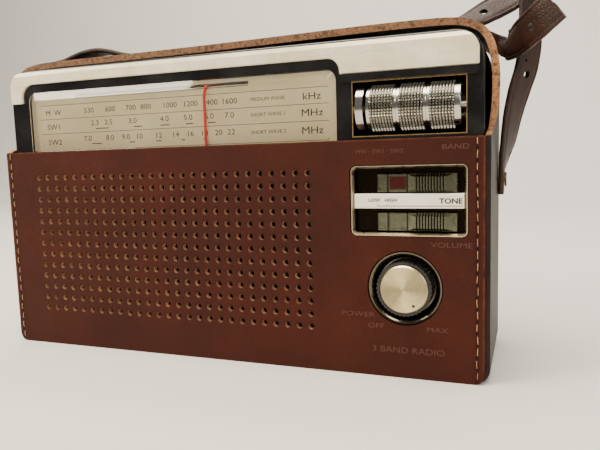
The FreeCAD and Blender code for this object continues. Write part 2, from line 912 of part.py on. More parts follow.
def pulley(x, z, radius, bore):
    body = rod_y(x, cord_y - pulley_half_width, cord_y + pulley_half_width, z, radius + 0.9)
    groove = ring_y(
        x, cord_y - groove_half_width, cord_y + groove_half_width, z, radius + 3, radius - 0.7
    )
    return body.cut([groove, rod_y(x, cord_y - 3, cord_y + 3, z, bore)])


def idler_places():
    return [
        (left_idler_x, cord_top_z - left_idler_radius, left_idler_radius),
        (idler_x, cord_top_z - idler_radius, idler_radius),
        (idler_x, low_idler_z, idler_radius),
    ]


def pulley_pins():
    """The fixed pins that the cord pulleys turn on."""
    pins = []
    for x, z, radius in idler_places():
        wall_y = face_y + wall if z > 90 else lower_face_y + wall
        head_y = cord_y + pulley_half_width + 0.3
        pin = rod_y(x, wall_y, head_y + 0.6, z, 1.0)
        head = rod_y(x, head_y, head_y + 0.6, z, 1.9)
        collar = rod_y(x, scale_back + 0.05, cord_y - pulley_half_width - 0.1, z, 1.7)
        pins.append(fused([pin, head, collar]))
    return Part.makeCompound(pins)


def gang_drum():
    """The cord drum on the tuning capacitor's shaft."""
    drum = pulley(gang_x, gang_z, gang_radius, 3.0)
    shaft = rod_y(gang_x, cord_y - pulley_half_width, -13.0, gang_z, 3.0)
    windows = []
    for i in range(3):
        angle = math.radians(90 + i * 120)
        x = gang_x + 13.5 * math.cos(angle)
        z = gang_z + 13.5 * math.sin(angle)
        windows.append(rod_y(x, -24, -16, z, 6.0))
    return fused([drum.cut(windows), shaft])


def tuning_capacitor():
    body = box(gang_x - 12.5, gang_x + 12.5, -15.0, 8.9, gang_z - 13, gang_z + 13)
    return body.cut(rod_y(gang_x, -16.0, -12.0, gang_z, 3.05))


def dial_cord():
    """The cord's closed loop round the spindle, pulleys and drum."""
    left, top, low = idler_places()
    left_x, left_z, left_r = left
    drum_top = gang_z + gang_radius
    drum_right = gang_x + gang_radius
    y = cord_y
    half = math.sqrt(0.5)
    edges = [
        Part.makeLine(vec(spindle_x, y, low[1]), vec(spindle_x, y, top[1])),
        Part.Arc(
            vec(spindle_x, y, top[1]),
            vec(idler_x + idler_radius * half, y, top[1] + idler_radius * half),
            vec(idler_x, y, cord_top_z),
        ).toShape(),
        Part.makeLine(vec(idler_x, y, cord_top_z), vec(left_x, y, cord_top_z)),
        Part.Arc(
            vec(left_x, y, cord_top_z),
            vec(left_x - left_r, y, left_z),
            vec(left_x, y, left_z - left_r),
        ).toShape(),
        Part.makeLine(vec(left_x, y, drum_top), vec(gang_x, y, drum_top)),
        Part.Arc(
            vec(gang_x, y, drum_top),
            vec(gang_x + gang_radius * half, y, gang_z + gang_radius * half),
            vec(drum_right, y, gang_z),
        ).toShape(),
        Part.makeLine(vec(drum_right, y, gang_z), vec(drum_right, y, low_idler_z)),
        Part.Arc(
            vec(drum_right, y, low_idler_z),
            vec(idler_x, y, low_idler_z - idler_radius),
            vec(spindle_x, y, low_idler_z),
        ).toShape(),
    ]
    path = Part.Wire(edges)
    start = Part.makeCircle(cord_radius, vec(spindle_x, y, 90.0), vec(0, 0, 1))
    start.translate(vec(0, 0, low_idler_z - 90.0))
    return path.makePipeShell([Part.Wire([start])], True, False)


rail_y = -15.5
rail_z = 116.6


def pointer_rail():
    """The rod that the dial pointer slides on, with its two end posts."""
    rod = rod_x(-72.0, 22.0, rail_y, rail_z, 1.0)
    posts = []
    for x in (-72.0, 20.4):
        posts.append(box(x, x + 1.6, face_y + wall, rail_y + 2, rail_z, rail_z + 1.9))
        posts.append(box(x, x + 1.6, rail_y - 2, rail_y + 2, rail_z - 1.9, rail_z + 1.9))
    return fused([rod] + posts)


def dial_pointer():
    """The red needle, curled at its top and led through the scale to its carriage."""
    x = pointer_x
    needle = plate([
        (x - 0.45, 87.2, 0.0),
        (x + 0.45, 87.2, 0.0),
        (x + 0.5, 108.8, 0.0),
        (x + 0.95, 111.4, 0.0),
        (x + 2.1, 113.2, 0.0),
        (x + 0.9, 113.2, 0.0),
        (x + 0.05, 111.6, 0.0),
        (x - 0.4, 109.0, 0.0),
    ], -22.9, -22.4)
    bridge = box(x + 0.9, x + 2.1, -22.9, -17.5, 112.7, 113.2)
    carriage = box(x - 4, x + 4, -18.0, -13.5, 112.7, 119.6)
    carriage = carriage.cut(rod_x(x - 5, x + 5, rail_y, rail_z, 1.06))
    return fused([needle, bridge, carriage])


# ---- speaker ----

def speaker_frame():
    flange = ring_y(speaker_x, -24.9, -23.9, speaker_z, speaker_radius, 31.5)
    basket = turned_y(speaker_x, speaker_z, [
        (33.0, -23.9),
        (34.0, -23.9),
        (19.0, -8.0),
        (19.0, -7.0),
        (8.5, -7.0),
        (8.5, -8.0),
        (18.2, -8.0),
    ])
    windows = []
    for i in range(4):
        angle = 45 + i * 90
        opening = box(-8, 8, -21.0, -10.0, 12, 40)
        opening.translate(vec(speaker_x, 0, speaker_z))
        opening.rotate(vec(speaker_x, 0, speaker_z), vec(0, 1, 0), angle)
        windows.append(opening)
    return fused([flange, basket.cut(windows)])


def speaker_cone():
    return turned_y(speaker_x, speaker_z, [
        (31.0, -23.6),
        (31.0, -23.1),
        (9.0, -11.5),
        (0.0, -13.5),
        (0.0, -14.1),
        (9.0, -12.2),
    ])


def speaker_magnet():
    return rod_y(speaker_x, -7.0, 6.2, speaker_z, 17.0)


# ---- electronics ----

board_front = 9.0
board_back = 10.6


def circuit_board():
    board = box(19.0, 101.0, board_front, board_back, 20.0, 111.0)
    return board.cut(rod_y(94.0, 0, 20, 116.0, 6.5))


def if_transformers():
    cans = []
    for i in range(4):
        x = 44.0 + i * 13.0
        cans.append(box(x, x + 10, -4.0, board_front, 92.0, 102.0))
    return Part.makeCompound(cans)


def electrolytic_capacitors():
    places = [(50.0, 78.0), (62.0, 78.0), (28.0, 50.0), (40.0, 50.0), (52.0, 50.0)]
    return Part.makeCompound([rod_y(x, -5.0, board_front, z, 4.0) for x, z in places])


def transistors():
    shapes = []
    for x, z in [(74.0, 80.0), (84.0, 80.0), (94.0, 80.0), (68.0, 60.0), (80.0, 60.0)]:
        can = rod_y(x, 2.0, board_front, z, 2.4)
        shapes.append(can.cut(box(x - 3, x + 3, 1, board_front + 1, z + 1.4, z + 3)))
    return Part.makeCompound(shapes)


def audio_transformers():
    shapes = []
    for x in (24.0, 46.0):
        core = box(x, x + 16.0, -5.0, board_front, 26.0, 39.0)
        coil = box(x + 3.0, x + 13.0, -7.0, -5.0, 27.0, 38.0)
        shapes.append(fused([core, coil]))
    return Part.makeCompound(shapes)


ferrite_y = 4.0
ferrite_z = 116.5


def ferrite_rod():
    return rod_x(-82.0, 58.0, ferrite_y, ferrite_z, 4.5)


def antenna_coil():
    coil = rod_x(-52.0, -22.0, ferrite_y, ferrite_z, 5.8)
    return coil.cut(rod_x(-60, 0, ferrite_y, ferrite_z, 4.55))


def ferrite_holders():
    """Two clips that hang the ferrite rod from the rear cabinet's top."""
    clips = []
    for x in (-70.0, 40.0):
        clip = box(x, x + 4, 1.0, 8.0, 117.0, body_top - wall)
        clip = clip.fuse(rod_x(x, x + 4, ferrite_y, ferrite_z, 6.2))
        clips.append(clip.cut(rod_x(x - 1, x + 5, ferrite_y, ferrite_z, 4.55)))
    return Part.makeCompound(clips)


# ---- power ----

cell_radius = 7.1
cell_rows = [17.0, 32.5]
cell_starts = [-84.5, -34.0]


def battery_box():
    """An open tray for four round cells in two rows."""
    tray = box(-88.5, 18.5, 7.4, 24.6, 8.0, 41.5)
    return tray.cut(box(-87.3, 17.3, 8.6, 26.0, 9.2, 40.3))


def batteries():
    cells = []
    for z in cell_rows:
        for x in cell_starts:
            can = rod_x(x, x + 49.0, 16.4, z, cell_radius)
            nub = rod_x(x + 49.0, x + 50.2, 16.4, z, 2.6)
            cells.append(fused([can, nub]))
    return Part.makeCompound(cells)


def battery_contacts():
    shapes = []
    for z in cell_rows:
        coil = Part.makeCone(5.0, 2.5, 1.9, vec(-86.7, 16.4, z), vec(1, 0, 0))
        plate_left = box(-87.3, -86.7, 10.5, 22.5, z - 6, z + 6)
        shapes.append(fused([coil, plate_left]))
        shapes.append(box(16.5, 17.2, 10.5, 22.5, z - 6, z + 6))
    return Part.makeCompound(shapes)


def earphone_jack():
    body = rod_x(-105.9, -88.0, -14.0, 58.0, 4.0)
    return body.cut(rod_x(-107.0, -91.0, -14.0, 58.0, 1.8))


def dc_jack():
    body = rod_x(-105.9, -92.0, -14.0, 42.0, 4.0)
    return body.cut(rod_x(-107.0, -95.0, -14.0, 42.0, 2.8))


# ---- telescopic antenna ----

section_tops = [126.1, 130.0, 130.6, 131.2]


def antenna_section(index):
    """One tube of the telescopic antenna, pushed right in."""
    outer = antenna_radii[index]
    low = antenna_bottom + 1.0 * index
    top = section_tops[index]
    tube = rod_z(antenna_x, antenna_y, low, top, outer)
    if index == 0:
        tube = rod_z(antenna_x, antenna_y, 20.0, top, outer)
    bore = antenna_radii[index + 1] + 0.05
    start = low if index else 22.0
    return tube.cut(rod_z(antenna_x, antenna_y, start + 0.6, top + 1, bore))


def antenna_tip():
    low = antenna_bottom + 4.6
    rod = rod_z(antenna_x, antenna_y, low, 133.0, antenna_radii[4])
    knob = rod_z(antenna_x, antenna_y, 131.8, 136.0, 3.4)
    rim = [edge for edge in knob.Edges if edge.BoundBox.ZMin > 135]
    return fused([rod, knob.makeFillet(1.2, rim)])


def build():
    os.makedirs("parts", exist_ok=True)
    save("case_side_band", case_side_band())
    save("case_front_panel", case_front_panel())
    save("case_back_flap", case_back_flap())
    save("flap_press_studs", flap_press_studs())
    save("case_press_studs", case_press_studs())
    save("strap_rivets", strap_rivets())
    save("carry_strap", carry_strap())
    save("strap_tail", strap_tail())
    save("front_cabinet", front_cabinet())
    save("rear_cabinet", rear_cabinet())
    save("cabinet_screws", cabinet_screws())
    save("top_trim", top_trim())
    save("dial_lens", dial_lens())
    save("dial_scale_plate", dial_scale_plate())
    save("switch_bezel", switch_bezel())
    save("switch_label_strip", switch_label_strip())
    save("band_slider", slider(band_z))
    save("tone_slider", slider(tone_z))
    save("band_switch", slide_switch(67.0, 91.0, band_z, 4.8))
    save("tone_switch", slide_switch(72.0, 91.0, tone_z, 4.8))
    save("control_bracket", control_bracket())
    save("volume_dish", volume_dish())
    save("volume_knob", volume_knob())
    save("volume_knob_cap", volume_knob_cap())
    save("volume_shaft", volume_shaft())
    save("volume_pot", volume_pot())
    save("tuning_shaft", tuning_shaft())
    save("tuning_roller", tuning_roller())
    save("tuning_end_ring", tuning_end_ring())
    left, top, low = idler_places()
    save("idler_left", pulley(left[0], left[1], left[2], 1.05))
    save("idler_top", pulley(top[0], top[1], top[2], 1.05))
    save("idler_low", pulley(low[0], low[1], low[2], 1.05))
    save("pulley_pins", pulley_pins())
    save("gang_drum", gang_drum())
    save("tuning_capacitor", tuning_capacitor())
    save("dial_cord", dial_cord())
    save("pointer_rail", pointer_rail())
    save("dial_pointer", dial_pointer())
    save("speaker_frame", speaker_frame())
    save("speaker_cone", speaker_cone())
    save("speaker_magnet", speaker_magnet())
    save("circuit_board", circuit_board())
    save("if_transformers", if_transformers())
    save("electrolytic_capacitors", electrolytic_capacitors())
    save("transistors", transistors())
    save("audio_transformers", audio_transformers())
    save("ferrite_rod", ferrite_rod())
    save("antenna_coil", antenna_coil())
    save("ferrite_holders", ferrite_holders())
    save("battery_box", battery_box())
    save("batteries", batteries())
    save("battery_contacts", battery_contacts())
    save("earphone_jack", earphone_jack())
    save("dc_jack", dc_jack())
    save("antenna_tube", antenna_section(0))
    save("antenna_section_1", antenna_section(1))
    save("antenna_section_2", antenna_section(2))
    save("antenna_section_3", antenna_section(3))
    save("antenna_tip", antenna_tip())


build()
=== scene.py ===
import bpy
import bmesh
import math
from mathutils import Matrix, Vector


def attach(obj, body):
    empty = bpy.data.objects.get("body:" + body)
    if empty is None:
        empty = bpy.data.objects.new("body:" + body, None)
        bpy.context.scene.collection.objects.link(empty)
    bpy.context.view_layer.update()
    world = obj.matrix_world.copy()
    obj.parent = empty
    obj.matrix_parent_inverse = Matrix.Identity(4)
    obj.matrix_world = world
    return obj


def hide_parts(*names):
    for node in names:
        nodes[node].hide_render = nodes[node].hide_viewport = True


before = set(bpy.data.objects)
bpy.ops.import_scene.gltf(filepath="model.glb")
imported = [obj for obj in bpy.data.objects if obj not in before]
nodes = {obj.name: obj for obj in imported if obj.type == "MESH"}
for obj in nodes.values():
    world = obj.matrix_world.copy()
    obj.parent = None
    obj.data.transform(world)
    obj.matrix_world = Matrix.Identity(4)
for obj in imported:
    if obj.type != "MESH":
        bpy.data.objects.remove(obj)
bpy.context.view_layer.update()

mm = 0.001
print("stage: frame loaded")


def srgb(red, green, blue):
    values = []
    for part in (red, green, blue):
        part = part / 255
        values.append(part / 12.92 if part <= 0.04045 else ((part + 0.055) / 1.055) ** 2.4)
    return (*values, 1)


def link(tree, source, target):
    tree.links.new(source, target)


def feed(tree, socket, value):
    # a socket takes either another socket or a plain value
    if isinstance(value, bpy.types.NodeSocket):
        tree.links.new(value, socket)
    elif value is not None:
        socket.default_value = value


def place(tree, kind, feeds=None, **settings):
    # feeds: values or sockets for the new node's inputs, by name or number
    node = tree.nodes.new(kind)
    for key, value in settings.items():
        setattr(node, key, value)
    for key, value in (feeds or {}).items():
        feed(tree, node.inputs[key], value)
    return node


def calc(tree, operation, first, second=None, clamp=False):
    node = place(tree, "ShaderNodeMath", {0: first, 1: second}, operation=operation, use_clamp=clamp)
    return node.outputs[0]


def times(tree, first, second):
    return calc(tree, "MULTIPLY", first, second)


def minus(tree, first, second):
    return calc(tree, "SUBTRACT", first, second)


def distance(tree, first, second):
    squares = calc(tree, "ADD", times(tree, first, first), times(tree, second, second))
    return calc(tree, "SQRT", squares)


def objectPoint(tree, stretch=(1, 1, 1)):
    source = place(tree, "ShaderNodeTexCoord")
    feeds = {"Scale": stretch, "Vector": source.outputs["Object"]}
    return place(tree, "ShaderNodeMapping", feeds).outputs[0]


def axesOf(tree, vector):
    return place(tree, "ShaderNodeSeparateXYZ", {0: vector}).outputs


def objectAxes(tree):
    return axesOf(tree, place(tree, "ShaderNodeTexCoord").outputs["Object"])


def dim(colour, share):
    return tuple(part * share for part in colour[:3]) + (1,)


def noise(tree, point, scale, detail=3.0, rough=0.55, warp=0.0):
    return place(tree, "ShaderNodeTexNoise", {
        "Vector": point, "Scale": scale, "Detail": detail, "Roughness": rough, "Distortion": warp,
    }).outputs["Fac"]


def cells(tree, point, scale, feature="F1"):
    feeds = {"Vector": point, "Scale": scale}
    return place(tree, "ShaderNodeTexVoronoi", feeds, feature=feature).outputs["Distance"]


def span(tree, value, low, high, outLow=0.0, outHigh=1.0):
    return place(tree, "ShaderNodeMapRange", {
        "Value": value, "From Min": low, "From Max": high, "To Min": outLow, "To Max": outHigh,
    }, clamp=True).outputs["Result"]


def blendColour(tree, factor, first, second, mode="MIX"):
    feeds = {"Factor": factor, 6: first, 7: second}  # 6 and 7 are the colour sockets
    return place(tree, "ShaderNodeMix", feeds, data_type="RGBA", blend_type=mode).outputs[2]


def bump(tree, height, distance, strength=1.0, under=None):
    return place(tree, "ShaderNodeBump", {
        "Height": height, "Distance": distance, "Strength": strength, "Normal": under,
    }).outputs["Normal"]


def newMaterial(name, **values):
    material = bpy.data.materials.new(name)
    material.use_nodes = True
    tree = material.node_tree
    shader = tree.nodes["Principled BSDF"]
    for key, value in values.items():
        shader.inputs[key.replace("_", " ")].default_value = value
    return material, tree, shader


leatherLooks = {
    "front": {
        "base": srgb(66, 26, 14), "deep": srgb(52, 19, 10), "worn": srgb(98, 50, 31),
        "grain": 1500, "grainDepth": 0.00006, "blotch": 26, "rough": (0.55, 0.7), "gloss": 0.14,
        "flecks": 0.22,
    },
    "hood": {
        "base": srgb(46, 28, 19), "deep": srgb(24, 15, 10), "worn": srgb(84, 55, 36),
        "grain": 900, "grainDepth": 0.00008, "blotch": 30, "rough": (0.45, 0.62), "gloss": 0.3,
        "flecks": 0.45,
    },
    "strap": {
        "base": srgb(58, 31, 20), "deep": srgb(32, 17, 12), "worn": srgb(100, 60, 40),
        "grain": 800, "grainDepth": 0.0001, "blotch": 60, "rough": (0.38, 0.56), "gloss": 0.35,
        "flecks": 0.45,
    },
}
panelGrid = {
    "x": -88.5 * mm, "z": 17.25 * mm, "pitch": 5 * mm, "columns": 27, "rows": 13,
    "hole": 1.25 * mm, "rim": 1.75 * mm,
}
# edge wear, rim and groove tones, and painted shade in the stitch holes and over the lower panel
panelWearAndShade = {
    "side": (105.7 * mm, 106.6 * mm), "top": (88.2 * mm, 88.9 * mm), "lowShadeHeight": 30 * mm,
    "rimShade": 0.35, "grooveShade": 0.35, "punchShade": 0.85, "lowShade": 0.35,
}
softEdge = 0.1 * mm  # how far a painted edge takes to fade
stitchRow = {"x": 104.2 * mm, "low": 3.4 * mm, "pitch": 4.4 * mm, "channel": 0.85 * mm, "punch": 0.6 * mm}


hoodEdge = {
    "y": -19 * mm, "z": 92 * mm, "lowY": -27.6 * mm, "lowZ": 88.9 * mm,
    "light": srgb(184, 134, 92), "dark": srgb(124, 80, 50), "stain": srgb(52, 30, 20),
}


def leatherBase(name, look):
    material, tree, shader = newMaterial(name, Specular_IOR_Level=look["gloss"])
    point = objectPoint(tree)
    blotch = span(tree, noise(tree, point, look["blotch"], 4, 0.6), 0.35, 0.68)
    colour = blendColour(tree, blotch, look["deep"], look["base"])
    fleck = span(tree, noise(tree, point, 420, 4, 0.7), 0.62, 0.74)
    flecks = times(tree, fleck, look["flecks"])
    colour = blendColour(tree, flecks, colour, look["worn"])
    pores = cells(tree, point, look["grain"], "DISTANCE_TO_EDGE")
    poreShade = span(tree, pores, 0.0, 0.16, 0.72, 1.0)
    grey = place(tree, "ShaderNodeCombineColor", {i: poreShade for i in range(3)})
    colour = blendColour(tree, 0.8, colour, grey.outputs[0], "MULTIPLY")
    scuff = span(tree, noise(tree, objectPoint(tree, (1, 1, 0.25)), 130, 5, 0.75, 0.4), 0.3, 0.75)
    rough = span(tree, scuff, 0, 1, *look["rough"])
    link(tree, rough, shader.inputs["Roughness"])
    wrinkle = bump(tree, noise(tree, point, 55, 4, 0.6, 0.6), 0.0005, 0.35)
    grained = bump(tree, span(tree, pores, 0, 0.22), look["grainDepth"], 0.75, wrinkle)
    fine = bump(tree, noise(tree, point, 3200, 2, 0.6), 0.00002, 0.6, grained)
    return material, tree, shader, colour, fine


def leather(name, look):
    material, tree, shader, colour, normal = leatherBase(name, look)
    link(tree, colour, shader.inputs["Base Color"])
    link(tree, normal, shader.inputs["Normal"])
    return material


def panelLeather(name, look):
    # the front panel also shows pressed rims, a stitch channel and rubbed edges, with painted shade in the
    # stitch holes and towards the bottom
    material, tree, shader, colour, normal = leatherBase(name, look)
    x, y, z = objectAxes(tree)
    grid = panelGrid

    def offCentre(value, start, count):
        across = calc(tree, "DIVIDE", minus(tree, value, start), grid["pitch"])
        nearest = calc(tree, "ROUND", across)
        nearest = calc(tree, "MINIMUM", calc(tree, "MAXIMUM", nearest, 0.0), count - 1.0)
        return times(tree, minus(tree, across, nearest), grid["pitch"])

    alongX = offCentre(x, grid["x"], grid["columns"])
    alongZ = offCentre(z, grid["z"], grid["rows"])
    radius = distance(tree, alongX, alongZ)
    rim = span(tree, radius, grid["hole"], grid["rim"], 1.0, 0.0)
    rubbed = times(tree, rim, panelWearAndShade["rimShade"])
    colour = blendColour(tree, rubbed, colour, look["deep"])
    side = calc(tree, "ABSOLUTE", x)
    channel = calc(tree, "ABSOLUTE", minus(tree, side, stitchRow["x"]))
    groove = span(tree, channel, 0.0, stitchRow["channel"], 1.0, 0.0)
    colour = blendColour(tree, times(tree, groove, panelWearAndShade["grooveShade"]), colour, look["deep"])
    along = calc(tree, "DIVIDE", minus(tree, z, stitchRow["low"]), stitchRow["pitch"])
    between = minus(tree, calc(tree, "FRACT", along), 0.5)
    between = times(tree, calc(tree, "ABSOLUTE", between), stitchRow["pitch"])
    punch = distance(tree, between, channel)
    punch = span(tree, punch, stitchRow["punch"] * 0.5, stitchRow["punch"], 1.0, 0.0)
    # painted shade: the stitch holes are painted near black
    colour = blendColour(tree, times(tree, punch, panelWearAndShade["punchShade"]), colour, srgb(24, 10, 6))
    edge = span(tree, side, *panelWearAndShade["side"])
    top = span(tree, z, *panelWearAndShade["top"])
    worn = calc(tree, "MAXIMUM", edge, top)
    patchy = span(tree, noise(tree, objectPoint(tree), 240, 4, 0.7), 0.38, 0.62)
    colour = blendColour(tree, times(tree, worn, patchy), colour, look["worn"])
    # painted shade: the panel darkens towards the bottom
    low = span(tree, z, 0.0, panelWearAndShade["lowShadeHeight"], panelWearAndShade["lowShade"], 0.0)
    colour = blendColour(tree, low, colour, look["deep"])
    link(tree, colour, shader.inputs["Base Color"])
    pressed = bump(tree, minus(tree, 1.0, rim), 0.0002, 0.8, normal)
    sunk = bump(tree, minus(tree, 1.0, groove), 0.0003, 0.9, pressed)
    link(tree, bump(tree, minus(tree, 1.0, punch), 0.0004, 0.9, sunk), shader.inputs["Normal"])
    return material


def hoodLeather(name, look):
    # the hood's cut front edge shows tan fibres with dark flecks
    material, tree, shader, colour, normal = leatherBase(name, look)
    x, y, z = objectAxes(tree)
    edge = hoodEdge
    upright = span(tree, y, edge["y"] + 0.02 * mm, edge["y"] + softEdge, 1.0, 0.0)
    slope = (edge["z"] - edge["lowZ"]) / (edge["y"] - edge["lowY"])
    rise = times(tree, minus(tree, y, edge["lowY"]), slope)
    off = calc(tree, "ABSOLUTE", minus(tree, minus(tree, z, edge["lowZ"]), rise))
    onSlope = span(tree, off, 0.04 * mm, 0.1 * mm, 1.0, 0.0)
    slant = times(tree, onSlope, span(tree, y, edge["y"], edge["y"] + softEdge, 1.0, 0.0))
    high = span(tree, z, edge["z"] - 0.05 * mm, edge["z"] + 0.05 * mm)
    cut = calc(tree, "ADD", times(tree, upright, high), slant, clamp=True)
    fibres = noise(tree, objectPoint(tree), 1100, 5, 0.75, 0.4)
    raw = blendColour(tree, span(tree, fibres, 0.35, 0.62), edge["dark"], edge["light"])
    flecks = span(tree, noise(tree, objectPoint(tree), 420, 4, 0.75), 0.5, 0.6)
    raw = blendColour(tree, times(tree, flecks, 0.75), raw, edge["stain"])
    side = span(tree, calc(tree, "ABSOLUTE", x), 104 * mm, 108 * mm, 0.55, 1.0)
    shown = times(tree, cut, side)
    link(tree, blendColour(tree, shown, colour, raw), shader.inputs["Base Color"])
    link(tree, normal, shader.inputs["Normal"])
    return material


def rawLeather(name, light, dark, scale=700):
    # cut edges: pale fibres that lie along the cut
    material, tree, shader = newMaterial(name, Roughness=0.85)
    point = objectPoint(tree)
    fibres = noise(tree, objectPoint(tree, (0.35, 1.0, 0.6)), scale, 5, 0.7, 0.5)
    stain = span(tree, noise(tree, point, 90, 3, 0.6), 0.4, 0.65)
    colour = blendColour(tree, span(tree, fibres, 0.3, 0.7), dark, light)
    colour = blendColour(tree, times(tree, stain, 0.5), colour, dark)
    link(tree, colour, shader.inputs["Base Color"])
    link(tree, bump(tree, fibres, 0.00015, 0.8), shader.inputs["Normal"])
    return material


roller = {
    "y": -22 * mm, "z": 100.3 * mm, "radius": 8.35 * mm, "peak": 0.5 * mm, "bore": 1.52 * mm,
    "left": 64.5 * mm, "right": 98.4 * mm, "around": 50, "across": 8, "first": 65.9 * mm,
    "sectionPitch": 10.8 * mm, "sectionWidth": 8.7 * mm, "sections": 3,
    "groove": 0.4 * mm, "grooveRadius": 7.8 * mm,
}
sliderRibs = {
    "first": 82.9 * mm, "pitch": 1.05 * mm, "groove": 0.2 * mm, "last": 92.7 * mm,
    "gaps": (72.2 * mm, 79.3 * mm),
}
# depths over which the tray's painted shade sets in
trayShadeDepth = {"bright": -28.6 * mm, "dark": -27.6 * mm}


def brushedMetal(name, look):
    material, tree, shader = newMaterial(name, Metallic=look["metal"])
    point = objectPoint(tree)
    streaks = noise(tree, objectPoint(tree, look["streak"]), 900, 3, 0.6)
    patches = span(tree, noise(tree, point, look["patch"], 4, 0.65), 0.35, 0.7)
    colour = blendColour(tree, patches, look["dull"], look["base"])
    pits = span(tree, cells(tree, point, look["pitScale"]), 0.0, look["pitSize"], 1.0, 0.0)
    some = span(tree, noise(tree, point, 160, 3, 0.6), 0.5, 0.62)
    stained = times(tree, times(tree, pits, some), look["pits"])
    colour = blendColour(tree, stained, colour, look["stain"])
    link(tree, colour, shader.inputs["Base Color"])
    streaky = span(tree, streaks, 0.3, 0.7, *look["rough"])
    rough = calc(tree, "ADD", streaky, times(tree, stained, 0.3))
    link(tree, rough, shader.inputs["Roughness"])
    lines = bump(tree, streaks, 0.00001, 0.35)
    link(tree, bump(tree, stained, 0.00003, -0.5, lines), shader.inputs["Normal"])
    return material


def chrome(name, base, rough, wear=0.4):
    material, tree, shader = newMaterial(name, Metallic=1.0)
    point = objectPoint(tree)
    haze = span(tree, noise(tree, point, 180, 4, 0.65), 0.4, 0.75)
    colour = blendColour(tree, times(tree, haze, wear), base, dim(base, 0.72))
    link(tree, colour, shader.inputs["Base Color"])
    link(tree, span(tree, haze, 0, 1, rough, rough + 0.14), shader.inputs["Roughness"])
    link(tree, bump(tree, noise(tree, point, 2200, 2), 0.000004, 0.3), shader.inputs["Normal"])
    return material


def rollerCore(name, bright, knurlShade):
    # the knurled bands are painted dark between their points as painted shade; the rest is bright
    material, tree, shader = newMaterial(name, Metallic=1.0)
    x, y, z = objectAxes(tree)
    step = minus(tree, x, roller["first"])
    along = calc(tree, "FLOORED_MODULO", step, roller["sectionPitch"])
    inBand = span(tree, along, roller["sectionWidth"], roller["sectionWidth"] + softEdge, 1.0, 0.0)
    right = roller["first"] + (roller["sections"] - 1) * roller["sectionPitch"] + roller["sectionWidth"]
    afterFirst = span(tree, x, roller["first"] - softEdge, roller["first"])
    inside = times(tree, afterFirst, span(tree, x, right, right + softEdge, 1.0, 0.0))
    haze = noise(tree, objectPoint(tree), 420, 4, 0.65)
    # painted shade between the knurl points
    knurlShadeMask = times(tree, times(tree, inBand, inside), span(tree, haze, 0.1, 0.5, 0.8, 1.0))
    link(tree, blendColour(tree, knurlShadeMask, bright, knurlShade), shader.inputs["Base Color"])
    link(tree, span(tree, haze, 0.3, 0.7, 0.1, 0.24), shader.inputs["Roughness"])
    link(tree, bump(tree, haze, 0.00001, 0.3), shader.inputs["Normal"])
    return material


def ribbedMetal(name, bright, deep):
    # painted shade lies in the grip's grooves and round its sunk panels, with patches of dirt
    material, tree, shader = newMaterial(name, Metallic=1.0)
    x, y, z = objectAxes(tree)
    haze = noise(tree, objectPoint(tree), 520, 4, 0.65)
    ribs = sliderRibs
    across = calc(tree, "DIVIDE", minus(tree, x, ribs["first"]), ribs["pitch"])
    near = calc(tree, "ABSOLUTE", minus(tree, across, calc(tree, "ROUND", across)))
    near = times(tree, near, ribs["pitch"])
    groove = span(tree, near, ribs["groove"], ribs["groove"] + 0.08 * mm, 1.0, 0.0)
    low = span(tree, x, ribs["first"] - 0.4 * mm, ribs["first"] - 0.3 * mm)
    high = span(tree, x, ribs["last"], ribs["last"] + softEdge, 1.0, 0.0)
    # painted shade in the rib grooves and round the sunk panels
    dirtAndShade = times(tree, groove, times(tree, low, high))
    for gapX in ribs["gaps"]:
        off = calc(tree, "ABSOLUTE", minus(tree, x, gapX))
        dirtAndShade = calc(tree, "MAXIMUM", dirtAndShade, span(tree, off, 0.25 * mm, 0.4 * mm, 0.8, 0.0))
    dirtAndShade = calc(tree, "MAXIMUM", dirtAndShade, span(tree, haze, 0.55, 0.75, 0.0, 0.6))
    link(tree, blendColour(tree, dirtAndShade, bright, deep), shader.inputs["Base Color"])
    link(tree, span(tree, haze, 0.3, 0.7, 0.14, 0.34), shader.inputs["Roughness"])
    link(tree, bump(tree, haze, 0.00002, 0.4), shader.inputs["Normal"])
    return material


def shadedTrayMetal(name, bright, deep):
    # bright round the mouth, with painted shade darkening it down inside
    material, tree, shader = newMaterial(name, Metallic=1.0)
    x, y, z = objectAxes(tree)
    haze = noise(tree, objectPoint(tree), 240, 4, 0.65)
    depth = calc(tree, "ADD", y, times(tree, haze, 0.6 * mm))
    # painted shade: darker from the mouth down into the tray
    inside = span(tree, depth, trayShadeDepth["bright"], trayShadeDepth["dark"])
    patchy = span(tree, haze, 0.45, 0.75, 0.0, 0.6)
    worn = blendColour(tree, patchy, bright, dim(bright, 0.6))
    link(tree, blendColour(tree, inside, worn, deep), shader.inputs["Base Color"])
    link(tree, span(tree, haze, 0.3, 0.7, 0.2, 0.42), shader.inputs["Roughness"])
    link(tree, bump(tree, haze, 0.00002, 0.4), shader.inputs["Normal"])
    return material


def plastic(name, base, rough, dust, grain=0.0):
    material, tree, shader = newMaterial(name)
    point = objectPoint(tree)
    specks = span(tree, noise(tree, point, 1500, 3, 0.75), 0.66, 0.76)
    film = span(tree, noise(tree, point, 70, 4, 0.6), 0.4, 0.8)
    amount = calc(tree, "ADD", times(tree, specks, 0.5), times(tree, film, 0.35))
    grey = tuple(part + dust for part in base[:3]) + (1,)
    link(tree, blendColour(tree, amount, base, grey), shader.inputs["Base Color"])
    link(tree, span(tree, film, 0, 1, rough, rough + 0.16), shader.inputs["Roughness"])
    swirl = noise(tree, objectPoint(tree, (0.2, 1, 1)), 1300, 2, 0.5)
    height = noise(tree, point, 2600, 2) if grain else swirl
    link(tree, bump(tree, height, grain or 0.000006, 0.5), shader.inputs["Normal"])
    return material


